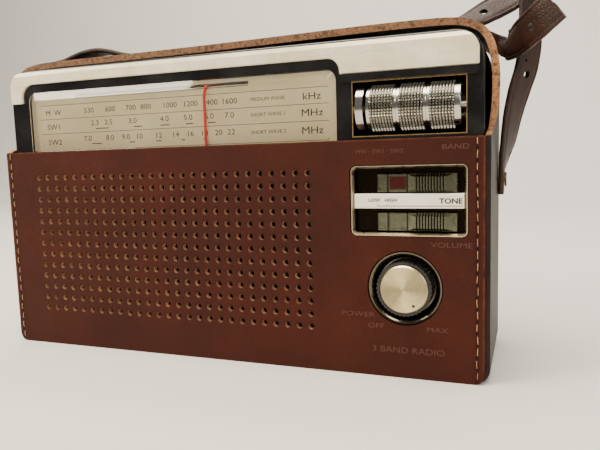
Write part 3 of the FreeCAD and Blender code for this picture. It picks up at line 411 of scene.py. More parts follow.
def paint(name, base, rough):
    material, tree, shader = newMaterial(name)
    point = objectPoint(tree)
    thin = span(tree, noise(tree, point, 900, 3, 0.6), 0.3, 0.75, 0.0, 0.35)
    link(tree, blendColour(tree, thin, base, dim(base, 0.6)), shader.inputs["Base Color"])
    link(tree, span(tree, thin, 0, 0.35, rough, rough + 0.2), shader.inputs["Roughness"])
    link(tree, bump(tree, noise(tree, point, 3000, 2), 0.00001, 0.4), shader.inputs["Normal"])
    return material


def clearWindow(name):
    material, tree, shader = newMaterial(
        name, IOR=1.49, Transmission_Weight=1.0, Base_Color=(0.93, 0.90, 0.82, 1))
    point = objectPoint(tree)
    dust = span(tree, noise(tree, point, 1400, 3, 0.8), 0.6, 0.8)
    link(tree, span(tree, dust, 0, 1, 0.03, 0.22), shader.inputs["Roughness"])
    hairlines = noise(tree, objectPoint(tree, (0.15, 1, 1.2)), 1500, 3, 0.6)
    link(tree, bump(tree, hairlines, 0.000005, 0.25), shader.inputs["Normal"])
    return material


def turnedMetal(name, centre, base):
    # lathe rings round an axis along Y, with the spun face's bow-tie highlight painted into the colour
    material, tree, shader = newMaterial(name, Metallic=1.0, Anisotropic=0.85)
    source = place(tree, "ShaderNodeTexCoord")
    feeds = {0: source.outputs["Object"], 1: (centre[0], 0, centre[1])}
    shift = place(tree, "ShaderNodeVectorMath", feeds, operation="SUBTRACT")
    x, y, z = axesOf(tree, shift.outputs[0])
    radius = distance(tree, x, z)
    ringPoint = place(tree, "ShaderNodeCombineXYZ", {0: radius})
    rings = noise(tree, ringPoint.outputs[0], 4500, 3, 0.6)
    haze = span(tree, noise(tree, objectPoint(tree), 300, 4, 0.6), 0.35, 0.75, 0.0, 0.5)
    spun = blendColour(tree, haze, base, dim(base, 0.6))
    angle = calc(tree, "ARCTAN2", z, x)
    # painted highlight: bright and dark fans round the cap
    highlightFan = calc(tree, "COSINE", times(tree, minus(tree, angle, 2.0), 2.0))  # two bright fans a turn
    highlightMask = span(tree, highlightFan, -0.6, 0.9, 0.75, 0.0)
    link(tree, blendColour(tree, highlightMask, spun, dim(base, 0.34)), shader.inputs["Base Color"])
    link(tree, span(tree, rings, 0.3, 0.7, 0.22, 0.36), shader.inputs["Roughness"])
    link(tree, bump(tree, rings, 0.00001, 0.5), shader.inputs["Normal"])
    tangent = place(tree, "ShaderNodeCombineXYZ", {0: z, 2: times(tree, x, -1.0)})
    unit = place(tree, "ShaderNodeVectorMath", {0: tangent.outputs[0]}, operation="NORMALIZE")
    link(tree, unit.outputs[0], shader.inputs["Tangent"])
    return material


finishes = {
    "panelLeather": panelLeather("panelLeather", leatherLooks["front"]),
    "hoodLeather": leather("hoodLeather", leatherLooks["hood"]),
    "strapLeather": leather("strapLeather", leatherLooks["strap"]),
    "hoodCut": hoodLeather("hoodCut", leatherLooks["hood"]),
    "punchedWall": rawLeather("punchedWall", srgb(196, 158, 122), srgb(128, 84, 58)),
    "thread": rawLeather("thread", srgb(196, 164, 126), srgb(112, 74, 50), 2600),
    "trimMetal": brushedMetal("trimMetal", {
        "metal": 0.25,
        "base": srgb(250, 240, 212), "dull": srgb(226, 212, 176), "stain": srgb(140, 108, 56),
        "streak": (0.03, 1, 1), "patch": 60, "pitScale": 900, "pitSize": 0.28, "pits": 0.8,
        "rough": (0.26, 0.42)}),
    "scaleMetal": brushedMetal("scaleMetal", {
        "metal": 0.1,
        "base": srgb(246, 238, 214), "dull": srgb(230, 218, 188), "stain": srgb(130, 112, 78),
        "streak": (0.05, 1, 1), "patch": 40, "pitScale": 1200, "pitSize": 0.22, "pits": 0.45,
        "rough": (0.42, 0.56)}),
    "labelMetal": brushedMetal("labelMetal", {
        "metal": 0.2,
        "base": srgb(250, 247, 238), "dull": srgb(240, 232, 214), "stain": srgb(170, 146, 106),
        "streak": (0.04, 1, 1), "patch": 90, "pitScale": 1500, "pitSize": 0.2, "pits": 0.5,
        "rough": (0.24, 0.38)}),
    "bezelMetalPaintedShade": shadedTrayMetal("bezelMetalPaintedShade", srgb(206, 190, 160), srgb(26, 20, 14)),
    "sliderMetal": ribbedMetal("sliderMetal", srgb(98, 98, 82), srgb(20, 18, 14)),
    # painted reflection: red for the band slider's flat facet
    "bandRedReflection": chrome("bandRedReflection", srgb(84, 44, 42), 0.24, 0.8),
    "rollerChrome": chrome("rollerChrome", srgb(188, 184, 174), 0.12, 0.5),
    "rollerCore": rollerCore("rollerCore", srgb(188, 184, 174), srgb(34, 31, 27)),
    # painted reflection: the dish's dark base colour stands for the dark room it reflects
    "dishDarkReflection": chrome("dishDarkReflection", srgb(96, 88, 76), 0.12, 0.6),
    "aerialChrome": chrome("aerialChrome", srgb(210, 208, 202), 0.1, 0.35),
    "studMetal": chrome("studMetal", srgb(190, 168, 120), 0.22, 0.7),
    "agedBrass": chrome("agedBrass", srgb(112, 90, 58), 0.34, 0.9),
    "goldLine": chrome("goldLine", srgb(206, 170, 112), 0.25, 0.7),
    "plainSteel": chrome("plainSteel", srgb(160, 160, 158), 0.3, 0.6),
    "capMetal": turnedMetal("capMetal", (78.3 * mm, 34.1 * mm), srgb(220, 202, 158)),
    "blackGloss": plastic("blackGloss", srgb(15, 14, 14), 0.16, 0.03),
    "blackRibbed": plastic("blackRibbed", srgb(20, 19, 18), 0.36, 0.05),
    "greyPlastic": plastic("greyPlastic", srgb(88, 86, 82), 0.5, 0.08, 0.00001),
    "needleRed": paint("needleRed", srgb(244, 52, 44), 0.4),
    "printInk": paint("printInk", srgb(22, 19, 17), 0.55),
    "fadedInk": paint("fadedInk", srgb(74, 32, 20), 0.55),
    "window": clearWindow("window"),
    "paperCone": paint("paperCone", srgb(38, 36, 34), 0.9),
    "boardResin": paint("boardResin", srgb(150, 112, 52), 0.5),
    "cordFibre": rawLeather("cordFibre", srgb(214, 206, 186), srgb(150, 140, 118), 3000),
}

finishNodes = {
    "panelLeather": ["case_front_panel"],
    "hoodLeather": ["case_back_flap"],
    "hoodCut": ["case_side_band"],
    "strapLeather": ["carry_strap", "strap_tail"],
    "studMetal": ["flap_press_studs", "case_press_studs", "volume_shaft", "batteries"],
    "agedBrass": ["strap_rivets"],
    "blackGloss": ["front_cabinet", "rear_cabinet"],
    "blackRibbed": ["volume_knob", "ferrite_rod"],
    "trimMetal": ["top_trim"],
    "window": ["dial_lens"],
    "scaleMetal": ["dial_scale_plate"],
    "bezelMetalPaintedShade": ["switch_bezel"],
    "labelMetal": ["switch_label_strip"],
    "sliderMetal": ["band_slider", "tone_slider"],
    "dishDarkReflection": ["volume_dish"],
    "capMetal": ["volume_knob_cap"],
    "rollerChrome": ["tuning_roller", "tuning_end_ring"],
    "needleRed": ["dial_pointer"],
    "paperCone": ["speaker_cone"],
    "boardResin": ["circuit_board"],
    "cordFibre": ["dial_cord", "antenna_coil"],
    "plainSteel": [
        "cabinet_screws", "control_bracket", "volume_pot", "tuning_shaft", "pulley_pins",
        "pointer_rail", "speaker_frame", "speaker_magnet", "if_transformers", "transistors",
        "audio_transformers", "battery_contacts",
    ],
    "greyPlastic": [
        "band_switch", "tone_switch", "idler_left", "idler_top", "idler_low", "gang_drum",
        "tuning_capacitor", "electrolytic_capacitors", "ferrite_holders", "battery_box",
        "earphone_jack", "dc_jack",
    ],
    "aerialChrome": [
        "antenna_tube", "antenna_section_1", "antenna_section_2", "antenna_section_3",
        "antenna_tip",
    ],
}
for finishName, nodeNames in finishNodes.items():
    for nodeName in nodeNames:
        for materialSlot in nodes[nodeName].material_slots:
            materialSlot.material = finishes[finishName]
print("stage: finishes made")


def pieceFromMesh(name, mesh, body, finish, smooth=True):
    piece = bpy.data.objects.new(name, mesh)
    bpy.context.scene.collection.objects.link(piece)
    mesh.materials.clear()
    mesh.materials.append(finishes[finish])
    if smooth:
        mesh.shade_smooth()
    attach(piece, body)
    return piece


def meshOf(name, shape):
    mesh = bpy.data.meshes.new(name)
    shape.to_mesh(mesh)
    shape.free()
    return mesh


def pieceFromBmesh(name, shape, body, finish):
    return pieceFromMesh(name, meshOf(name, shape), body, finish, False)


def newTree(name, inputs):
    tree = bpy.data.node_groups.new(name, "GeometryNodeTree")
    tree.interface.new_socket(name="Geometry", in_out="OUTPUT", socket_type="NodeSocketGeometry")
    kinds = {
        int: "NodeSocketInt", float: "NodeSocketFloat", tuple: "NodeSocketVector",
        None: "NodeSocketMaterial",
    }
    keys = {}
    for label, kind in [*inputs.items(), ("Finish", None)]:
        socket = tree.interface.new_socket(name=label, in_out="INPUT", socket_type=kinds[kind])
        keys[label] = socket.identifier
    source = tree.nodes.new("NodeGroupInput")
    return tree, source.outputs, keys


def endTree(tree, source, geometry):
    realise = place(tree, "GeometryNodeRealizeInstances", {"Geometry": geometry})
    dress = place(tree, "GeometryNodeSetMaterial", {
        "Geometry": realise.outputs["Geometry"], "Material": source["Finish"]})
    place(tree, "NodeGroupOutput", {"Geometry": dress.outputs["Geometry"]})


def layPoints(tree, count, steps, start):
    # puts the points of a line at three worked-out steps from the start
    points = place(tree, "GeometryNodeMeshLine", {"Count": count})
    spot = place(tree, "ShaderNodeCombineXYZ", steps)
    moved = place(tree, "ShaderNodeVectorMath", {0: spot.outputs[0], 1: start}, operation="ADD")
    lay = place(tree, "GeometryNodeSetPosition", {
        "Geometry": points.outputs["Mesh"], "Position": moved.outputs[0]})
    return lay.outputs["Geometry"]


def spreadOn(tree, points, shape, turn=None):
    feeds = {"Points": points, "Instance": shape, "Rotation": turn}
    return place(tree, "GeometryNodeInstanceOnPoints", feeds).outputs["Instances"]


def growPiece(name, tree, keys, inputs, body, finish, smooth=False):
    holder = bpy.data.objects.new(name + "Holder", bpy.data.meshes.new(name + "Seed"))
    bpy.context.scene.collection.objects.link(holder)
    modifier = holder.modifiers.new("Repeat", "NODES")
    modifier.node_group = tree
    for label, value in inputs.items():
        modifier[keys[label]] = value
    modifier[keys["Finish"]] = finishes[finish]
    graph = bpy.context.evaluated_depsgraph_get()
    mesh = bpy.data.meshes.new_from_object(holder.evaluated_get(graph))
    bpy.data.objects.remove(holder)
    mesh.name = name
    return pieceFromMesh(name, mesh, body, finish, smooth)


def liningTree():
    tree, source, keys = newTree("PunchedHoles", {
        "Columns": int, "Rows": int, "Pitch": float, "Corner": tuple, "Radius": float,
        "Depth": float, "Sides": int,
    })
    index = place(tree, "GeometryNodeInputIndex").outputs[0]
    column = calc(tree, "FLOORED_MODULO", index, source["Columns"])
    row = calc(tree, "FLOOR", calc(tree, "DIVIDE", index, source["Columns"]))
    steps = {0: times(tree, column, source["Pitch"]), 2: times(tree, row, source["Pitch"])}
    count = times(tree, source["Columns"], source["Rows"])
    points = layPoints(tree, count, steps, source["Corner"])
    wall = place(tree, "GeometryNodeMeshCylinder", {
        "Vertices": source["Sides"], "Radius": source["Radius"], "Depth": source["Depth"],
    }, fill_type="NONE")
    turned = place(tree, "GeometryNodeTransform", {
        "Geometry": wall.outputs["Mesh"], "Rotation": (math.pi / 2, 0, 0)})
    flip = place(tree, "GeometryNodeFlipFaces", {"Mesh": turned.outputs["Geometry"]})
    endTree(tree, source, spreadOn(tree, points, flip.outputs["Mesh"]))
    return tree, keys


punchedHoles = {
    "Columns": 27, "Rows": 13, "Pitch": 5 * mm, "Corner": (-88.5 * mm, -28.85 * mm, 17.25 * mm),
    "Radius": 1.2 * mm, "Depth": 2.2 * mm, "Sides": 20,
}
tree, keys = liningTree()
growPiece("punched_hole_walls", tree, keys, punchedHoles, "radio", "punchedWall", True)
print("stage: perforations lined")


threadForm = {"arcStart": 20, "arcSweep": 140, "arcSteps": 7, "sides": 8, "fullness": 0.34, "sway": 0.09}


def stitchTree():
    tree, source, keys = newTree("StitchRow", {
        "Count": int, "Start": tuple, "Step": tuple, "Tilt": tuple, "Length": float,
        "Thickness": float, "Wander": float, "Seed": int,
    })
    form = threadForm
    line = place(tree, "GeometryNodeMeshLine", {
        "Count": source["Count"], "Start Location": source["Start"], "Offset": source["Step"]})
    drift = place(tree, "FunctionNodeRandomValue", {
        "Min": (-1, -1, -1), "Max": (1, 1, 1), "Seed": source["Seed"],
    }, data_type="FLOAT_VECTOR")
    scaled = place(tree, "ShaderNodeVectorMath", {
        0: drift.outputs["Value"], "Scale": source["Wander"]}, operation="SCALE")
    shifted = place(tree, "GeometryNodeSetPosition", {
        "Geometry": line.outputs["Mesh"], "Offset": scaled.outputs[0]})
    arc = place(tree, "GeometryNodeCurveArc", {
        "Resolution": form["arcSteps"], "Radius": 1.0,
        "Start Angle": math.radians(form["arcStart"]),
        "Sweep Angle": math.radians(form["arcSweep"]),
    })
    ring = place(tree, "GeometryNodeCurvePrimitiveCircle", {
        "Resolution": form["sides"], "Radius": form["fullness"]})
    tube = place(tree, "GeometryNodeCurveToMesh", {
        "Fill Caps": True, "Curve": arc.outputs["Curve"], "Profile Curve": ring.outputs["Curve"]})
    thickness = source["Thickness"]
    size = place(tree, "ShaderNodeCombineXYZ", {
        0: times(tree, source["Length"], 0.5), 1: thickness, 2: thickness})
    shape = place(tree, "GeometryNodeTransform", {
        "Geometry": tube.outputs["Mesh"], "Scale": size.outputs[0]})
    sway = place(tree, "FunctionNodeRandomValue", {
        2: -form["sway"], 3: form["sway"], "Seed": source["Seed"]}, data_type="FLOAT")
    swayTurn = place(tree, "ShaderNodeCombineXYZ", {1: sway.outputs[1]})
    turn = place(tree, "ShaderNodeVectorMath", {
        0: source["Tilt"], 1: swayTurn.outputs[0]}, operation="ADD")
    stitches = spreadOn(tree, shifted.outputs["Geometry"], shape.outputs["Geometry"], turn.outputs[0])
    endTree(tree, source, stitches)
    return tree, keys


frontStitches = {
    "side": 104.2 * mm, "low": 3.4 * mm, "pitch": 4.4 * mm, "count": 20,
    "surface": -29.75 * mm, "length": 2.4 * mm, "thickness": 0.5 * mm,
}
standing = (math.pi, math.pi / 2, 0.0)  # the stitch's arch points out of the panel
tree, keys = stitchTree()
for label, side, seed in (("right", 1, 4), ("left", -1, 9)):
    row = {
        "Count": frontStitches["count"],
        "Start": (side * frontStitches["side"], frontStitches["surface"], frontStitches["low"]),
        "Step": (0.0, 0.0, frontStitches["pitch"]),
        "Tilt": standing, "Length": frontStitches["length"],
        "Thickness": frontStitches["thickness"], "Wander": 0.2 * mm, "Seed": seed,
    }
    growPiece("front_stitches_" + label, tree, keys, row, "radio", "thread", True)
print("stage: stitches sewn")


def knurlTree():
    tree, source, keys = newTree("KnurledBand", {
        "Around": int, "Across": int, "Pitch": float, "Start": tuple, "Radius": float,
        "Base": float, "Peak": float,
    })
    index = place(tree, "GeometryNodeInputIndex").outputs[0]
    step = calc(tree, "FLOORED_MODULO", index, source["Around"])
    ring = calc(tree, "FLOOR", calc(tree, "DIVIDE", index, source["Around"]))
    angle = times(tree, calc(tree, "DIVIDE", step, source["Around"]), 2 * math.pi)
    steps = {0: times(tree, ring, source["Pitch"])}
    for operation, axis in (("COSINE", 1), ("SINE", 2)):
        steps[axis] = times(tree, calc(tree, operation, angle), source["Radius"])
    count = times(tree, source["Around"], source["Across"])
    points = layPoints(tree, count, steps, source["Start"])
    peak = place(tree, "GeometryNodeMeshCone", {
        "Vertices": 4, "Radius Bottom": times(tree, source["Base"], math.sqrt(0.5)),
        "Radius Top": times(tree, source["Base"], 0.2), "Depth": source["Peak"],
    }, fill_type="NGON")
    squared = place(tree, "GeometryNodeTransform", {
        "Rotation": (0, 0, math.pi / 4), "Geometry": peak.outputs["Mesh"]})
    turn = place(tree, "ShaderNodeCombineXYZ", {0: minus(tree, angle, math.pi / 2)})
    endTree(tree, source, spreadOn(tree, points, squared.outputs["Geometry"], turn.outputs[0]))
    return tree, keys


def turnedProfile(profile, sides, centre):
    # (x, radius) pairs turned about the roller's own line along X
    shape = bmesh.new()
    loops = []
    for x, radius in profile:
        loop = []
        for i in range(sides):
            angle = 2 * math.pi * i / sides
            loop.append(shape.verts.new((
                x, centre[0] + radius * math.cos(angle), centre[1] + radius * math.sin(angle))))
        loops.append(loop)
    for first, second in zip(loops, loops[1:]):
        for i in range(sides):
            j = (i + 1) % sides
            shape.faces.new((first[i], first[j], second[j], second[i]))
    bmesh.ops.recalc_face_normals(shape, faces=shape.faces)
    return shape


def rollerProfile():
    radius = roller["radius"]
    edge = 0.3 * mm
    left = roller["left"]
    right = roller["right"]
    points = [(left, roller["bore"]), (left, radius - edge), (left + edge, radius)]
    for i in range(roller["sections"] - 1):
        bandEnd = roller["first"] + i * roller["sectionPitch"] + roller["sectionWidth"]
        middle = bandEnd + (roller["sectionPitch"] - roller["sectionWidth"]) / 2
        low = middle - roller["groove"] / 2
        high = middle + roller["groove"] / 2
        bottom = roller["grooveRadius"]
        points += [(low, radius), (low, bottom), (high, bottom), (high, radius)]
    points += [(right - edge, radius), (right, radius - edge)]
    points += [(right, roller["bore"]), (left, roller["bore"])]
    return points


rollerShape = turnedProfile(rollerProfile(), 72, (roller["y"], roller["z"]))
bmesh.ops.remove_doubles(rollerShape, verts=rollerShape.verts, dist=1e-7)
rollerBody = pieceFromBmesh("roller_body", rollerShape, "tuning", "rollerCore")
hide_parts("tuning_roller")
tree, keys = knurlTree()
for i in range(roller["sections"]):
    pitch = roller["sectionWidth"] / roller["across"]
    band = {
        "Around": roller["around"], "Across": roller["across"], "Pitch": pitch,
        "Start": (roller["first"] + i * roller["sectionPitch"] + pitch / 2, roller["y"], roller["z"]),
        "Radius": roller["radius"] - 0.04 * mm, "Base": pitch * 0.84, "Peak": roller["peak"],
    }
    growPiece("roller_knurl_%d" % (i + 1), tree, keys, band, "tuning", "rollerChrome")
print("stage: roller knurled")


capitalShare = 0.729  # a capital's height as a share of the font's size


def lettering(name, items, surface, rise, bold, body, finish):
    # items: text, centre x, base z, capital height and width stretch, all in mm
    shape = bmesh.new()
    for words, x, z, height, stretch in items:
        curve = bpy.data.curves.new(name + "Text", "FONT")
        curve.body = words
        curve.align_x = "CENTER"
        curve.size = height / capitalShare * mm
        curve.extrude = rise / 2
        curve.offset = bold * height * mm
        curve.resolution_u = 3
        holder = bpy.data.objects.new(name + "Holder", curve)
        bpy.context.scene.collection.objects.link(holder)
        graph = bpy.context.evaluated_depsgraph_get()
        mesh = bpy.data.meshes.new_from_object(holder.evaluated_get(graph))
        turn = Matrix.Rotation(math.pi / 2, 4, "X")
        widen = Matrix.Diagonal((stretch, 1, 1, 1))
        mesh.transform(Matrix.Translation((x * mm, surface, z * mm)) @ turn @ widen)
        shape.from_mesh(mesh)
        bpy.data.objects.remove(holder)
        bpy.data.meshes.remove(mesh)
    pieceFromBmesh(name, shape, body, finish)


def bars(name, rectangles, low, high, body, finish):
    # thin raised strips given as x0, x1, z0, z1 in mm
    shape = bmesh.new()
    for x0, x1, z0, z1 in rectangles:
        made = bmesh.ops.create_cube(shape, size=1.0)
        for vertex in made["verts"]:
            vertex.co.x = (x0 if vertex.co.x < 0 else x1) * mm
            vertex.co.y = low if vertex.co.y < 0 else high
            vertex.co.z = (z0 if vertex.co.z < 0 else z1) * mm
    pieceFromBmesh(name, shape, body, finish)


scalePrint = {"surface": -22.02 * mm, "rise": 0.03 * mm, "number": 2.35,
              "label": 2.5, "small": 1.5, "unit": 2.9, "front": -22.03 * mm, "back": -22.0 * mm}
mediumRow = [("530", -63.7), ("600", -52.3), ("700", -41.5), ("800", -33.8), ("1000", -21.9),
             ("1200", -11.9), ("1400", -2.6), ("1600", 6.2)]
shortRow1 = [("2.3", -60.8), ("2.5", -53.5), ("3.0", -40.9), ("4.0", -24.8), ("5.0", -13.3),
             ("6.0", -3.3), ("7.0", 6.0)]
shortRow2 = [("7.0", -65.2), ("8.0", -53.2), ("9.0", -44.8), ("10", -37.9), ("12", -28.1),
             ("14", -19.7), ("16", -12.6), ("18", -5.9), ("20", 0.8), ("22", 6.6)]
dialText = []
for entries, z in ((mediumRow, 105.6), (shortRow1, 100.0), (shortRow2, 93.2)):
    dialText += [(words, x, z, scalePrint["number"], 1.12) for words, x in entries]
dialText += [
    ("M  W", -83.7, 105.3, scalePrint["label"], 1.1),
    ("SW1", -83.7, 98.9, scalePrint["label"], 1.15),
    ("SW2", -83.7, 92.0, scalePrint["label"], 1.15),
    ("MEDIUM WAVE", 23.1, 106.0, scalePrint["small"], 1.05),
    ("SHORT WAVE 1", 23.1, 99.9, scalePrint["small"], 1.05),
    ("SHORT WAVE 2", 23.1, 93.0, scalePrint["small"], 1.05),
]
dialText += [(words, 41.7, z, scalePrint["unit"], 1.2) for words, z in (
    ("kHz", 105.3), ("MHz", 99.0), ("MHz", 92.2))]
lettering("dial_print", dialText, scalePrint["surface"], scalePrint["rise"], 0.0,
          "radio", "printInk")
dialRules = [(-91, 48, low, high) for low, high in (
    (109.75, 109.95), (103.5, 103.7), (96.9, 97.1), (90.0, 90.2))]
meterBands = [(-60.5, -53.5), (-40.5, -36.0), (-27.0, -22.5), (-14.5, -11.0), (-4.0, -0.5)]
dialRules += [(a, b, 98.3, 98.7) for a, b in meterBands]
dialRules += [(a - 2.5, b - 4.2, 91.7, 92.1) for a, b in meterBands]
bars("dial_rules", dialRules, scalePrint["front"], scalePrint["back"], "radio", "printInk")

stripPrint = {"surface": -28.92 * mm, "rise": 0.03 * mm, "bold": 0.045, "front": -28.93 * mm,
              "back": -28.89 * mm}
labelText = [
    ("LOW", 67.2, 66.1, 1.2, 1.15), ("HIGH", 73.4, 66.1, 1.2, 1.15), ("TONE", 94.9, 65.4, 1.9, 1.15),
]
lettering("switch_print", labelText, stripPrint["surface"], stripPrint["rise"], stripPrint["bold"],
          "radio", "printInk")
bars("switch_ticks", [(68.4, 68.6, 64.4, 65.3), (71.9, 72.1, 64.4, 65.3), (68.4, 99.2, 64.35, 64.6)],
     stripPrint["front"], stripPrint["back"], "radio", "printInk")
# painted reflection: a red patch on the band slider's flat facet
redReflectionPatch = {"area": (72.9, 78.8, 70.6, 75.2), "front": -27.93 * mm, "back": -27.9 * mm}
bars("band_red_reflection", [redReflectionPatch["area"]], redReflectionPatch["front"], redReflectionPatch["back"], "band_grip",
     "bandRedReflection")
knobDot = {"area": (81.5, 82.5, 27.8, 28.8), "front": -32.74 * mm, "back": -32.68 * mm}
bars("knob_dot", [knobDot["area"]], knobDot["front"], knobDot["back"],
     "volume", "printInk")
pocketEdge = {"left": 58.6, "right": 99.8, "low": 90.4, "high": 110.2, "line": 0.35,
              "front": -25.06 * mm, "back": -24.98 * mm}


def frameBars(edge):
    line = edge["line"]
    left, right, low, high = edge["left"], edge["right"], edge["low"], edge["high"]
    return [
        (left - line, left, low, high), (right, right + line, low, high),
        (left - line, right + line, low - line, low), (left - line, right + line, high, high + line),
    ]


bars("pocket_rim", frameBars(pocketEdge), pocketEdge["front"], pocketEdge["back"],
     "radio", "goldLine")

panelPrint = {"surface": -30.0 * mm, "rise": 0.04 * mm}
panelText = [
    ("MW · SW1 · SW2", 69.5, 83.9, 1.5, 1.15), ("BAND", 96.7, 84.6, 1.9, 1.35),
    ("VOLUME", 95.3, 49.7, 1.9, 1.45), ("POWER", 60.4, 22.7, 1.9, 1.45), ("OFF", 67.4, 18.6, 1.9, 1.4),
    ("MAX", 90.1, 18.4, 1.9, 1.4), ("3 BAND RADIO", 79.3, 9.6, 2.4, 1.2),
]
lettering("panel_labels", panelText, panelPrint["surface"], panelPrint["rise"], 0.0,
          "radio", "fadedInk")
print("stage: lettering set")


strapForm = {
    "width": 12 * mm, "thickness": 2 * mm, "groove": 1.5 * mm, "grooveDepth": 0.22 * mm, "steps": 7,
    "ripples": ((0.06 * mm, 0.9, 0), (0.04 * mm, 0.37, 1)), "rippleGain": 60,  # height, rate, phase
}
# centre x, y, z in mm and the direction across the strap
strapStations = [
    (-109.7, 0, 61, 0, 1, 0), (-109.7, 0, 70, 0, 1, 0), (-109.8, 0, 80, 0, 1, 0),
    (-110.4, 0, 92, 0, 1, 0), (-110.7, 0, 108, 0, 1, 0), (-110.3, 0, 118, 0, 1, 0),
    (-108.4, 0, 125, 0, 1, 0), (-104.5, 0, 129.4, 0, 1, 0), (-98, 0, 131.6, 0, 1, 0),
    (-91.5, 0, 132.6, 0, 1, 0), (-86.5, 0, 134, 0, 1, 0), (-80, 0, 135.6, 0, 1, 0),
    (-72, 0, 136.2, 0, 1, 0), (-64.5, 0, 135, 0, 1, 0), (-56, 0, 132.7, 0, 1, 0),
    (-46, 0, 131.5, 0, 1, 0), (-20, 0, 131.5, 0, 1, 0), (20, 0, 131.9, 0, 1, 0),
    (55, 0, 132.5, 0, 1, 0), (76, 3, 133, 0, 1, 0), (88, 7, 133.9, -0.2, 0.95, 0.1),
    (95, 9.5, 135, -0.4, 0.8, 0.35), (100, 12, 136.5, -0.5, 0.62, 0.6),
    (105, 15, 139.4, -0.5, 0.5, 0.7), (111, 18.5, 142.8, -0.45, 0.5, 0.75),
    (118, 21, 147, -0.4, 0.65, 0.6), (125, 22, 152.5, -0.3, 0.85, 0.35),
    (130.5, 21.3, 159, -0.15, 0.97, 0.15), (132.6, 19.8, 165.5, 0, 1, 0.05),
    (130.6, 18.2, 170.6, 0.15, 0.99, 0), (126.4, 16.6, 171.6, 0.28, 0.96, 0),
    (122.9, 15.3, 167.6, 0.4, 0.92, 0), (121.2, 14.3, 161, 0.5, 0.87, 0),
    (120.6, 13.6, 153.5, 0.6, 0.8, 0), (120.5, 13.1, 146, 0.65, 0.76, 0),
    (120.5, 13, 139, 0.65, 0.76, 0), (120.4, 12.5, 132, 0.65, 0.76, 0),
    (120.3, 12.3, 124, 0.65, 0.76, 0), (119.1, 12.2, 115.5, 0.66, 0.75, 0),
    (116.6, 12, 107, 0.62, 0.78, 0), (114.6, 12.8, 99, 0.54, 0.84, 0), (113.3, 14.4, 92, 0.44, 0.9, 0),
    (112.3, 16.6, 86, 0.34, 0.94, 0), (111.1, 18.8, 80.5, 0.16, 0.98, 0), (110, 20, 75, 0, 1, 0),
    (109.8, 20, 70.5, 0, 1, 0), (109.7, 20, 65.5, 0, 1, 0),
]
tailStations = [
    (83, 20, 131.8, 0, 1, 0), (94, 20, 131.8, 0, 1, 0), (100, 20, 131.5, 0, 1, 0),
    (105.4, 19.9, 130.4, 0, 1, 0.02), (110.1, 18.9, 128.5, 0, 0.97, 0.2),
    (112.6, 15.6, 126.3, 0, 0.8, 0.55), (113.2, 10, 124.4, 0, 0.58, 0.8),
    (115.4, 3.6, 124.6, -0.3, 0.35, 0.85), (118.4, -2.5, 126.1, -0.45, 0.2, 0.8),
    (122.2, -7, 128.5, -0.55, 0.15, 0.78), (125.2, -9.5, 130.9, -0.6, 0.1, 0.75),
    (128.7, -11.2, 133.6, -0.65, 0.1, 0.72),
]


def smoothPath(stations, steps):
    # Catmull-Rom through the stations: centre, along, across and face directions
    centres = [Vector(s[:3]) * mm for s in stations]
    sides = [Vector(s[3:]).normalized() for s in stations]
    count = len(stations)

    def at(values, i):
        return values[max(0, min(count - 1, i))]

    frames = []
    for i in range(count - 1):
        for k in range(steps + (1 if i == count - 2 else 0)):
            t = k / steps
            p0, p1, p2, p3 = (at(centres, i + j) for j in (-1, 0, 1, 2))
            centre = 0.5 * (2 * p1 + (p2 - p0) * t + (2 * p0 - 5 * p1 + 4 * p2 - p3) * t * t
                            + (3 * p1 - p0 - 3 * p2 + p3) * t ** 3)
            along = 0.5 * ((p2 - p0) + 2 * (2 * p0 - 5 * p1 + 4 * p2 - p3) * t
                           + 3 * (3 * p1 - p0 - 3 * p2 + p3) * t * t)
            across = sides[i].lerp(sides[i + 1], t)
            along.normalize()
            face = along.cross(across).normalized()
            frames.append((centre, along, face.cross(along).normalized(), face))
    return frames


def strapSection(form):
    # one closed cross-section: rounded edges and a creased line near each edge
    half = form["width"] / 2
    thick = form["thickness"] / 2
    groove = half - form["groove"]
    depth = form["grooveDepth"]
    corner = thick * 0.5
    upper = [
        (half - 0.02 * mm, corner * 0.4), (half - 0.25 * mm, corner * 1.5), (half - 0.7 * mm, thick),
        (groove + 0.35 * mm, thick), (groove, thick - depth), (groove - 0.35 * mm, thick),
        (half * 0.45, thick * 1.03),
    ]
    lower = [(u, -v) for u, v in upper[:3]] + [(half * 0.4, -thick)]
    upper += [(0, thick * 1.05)] + [(-u, v) for u, v in reversed(upper)]
    lower = [(-u, v) for u, v in lower] + [(0, -thick)] + lower[::-1]
    return upper + lower


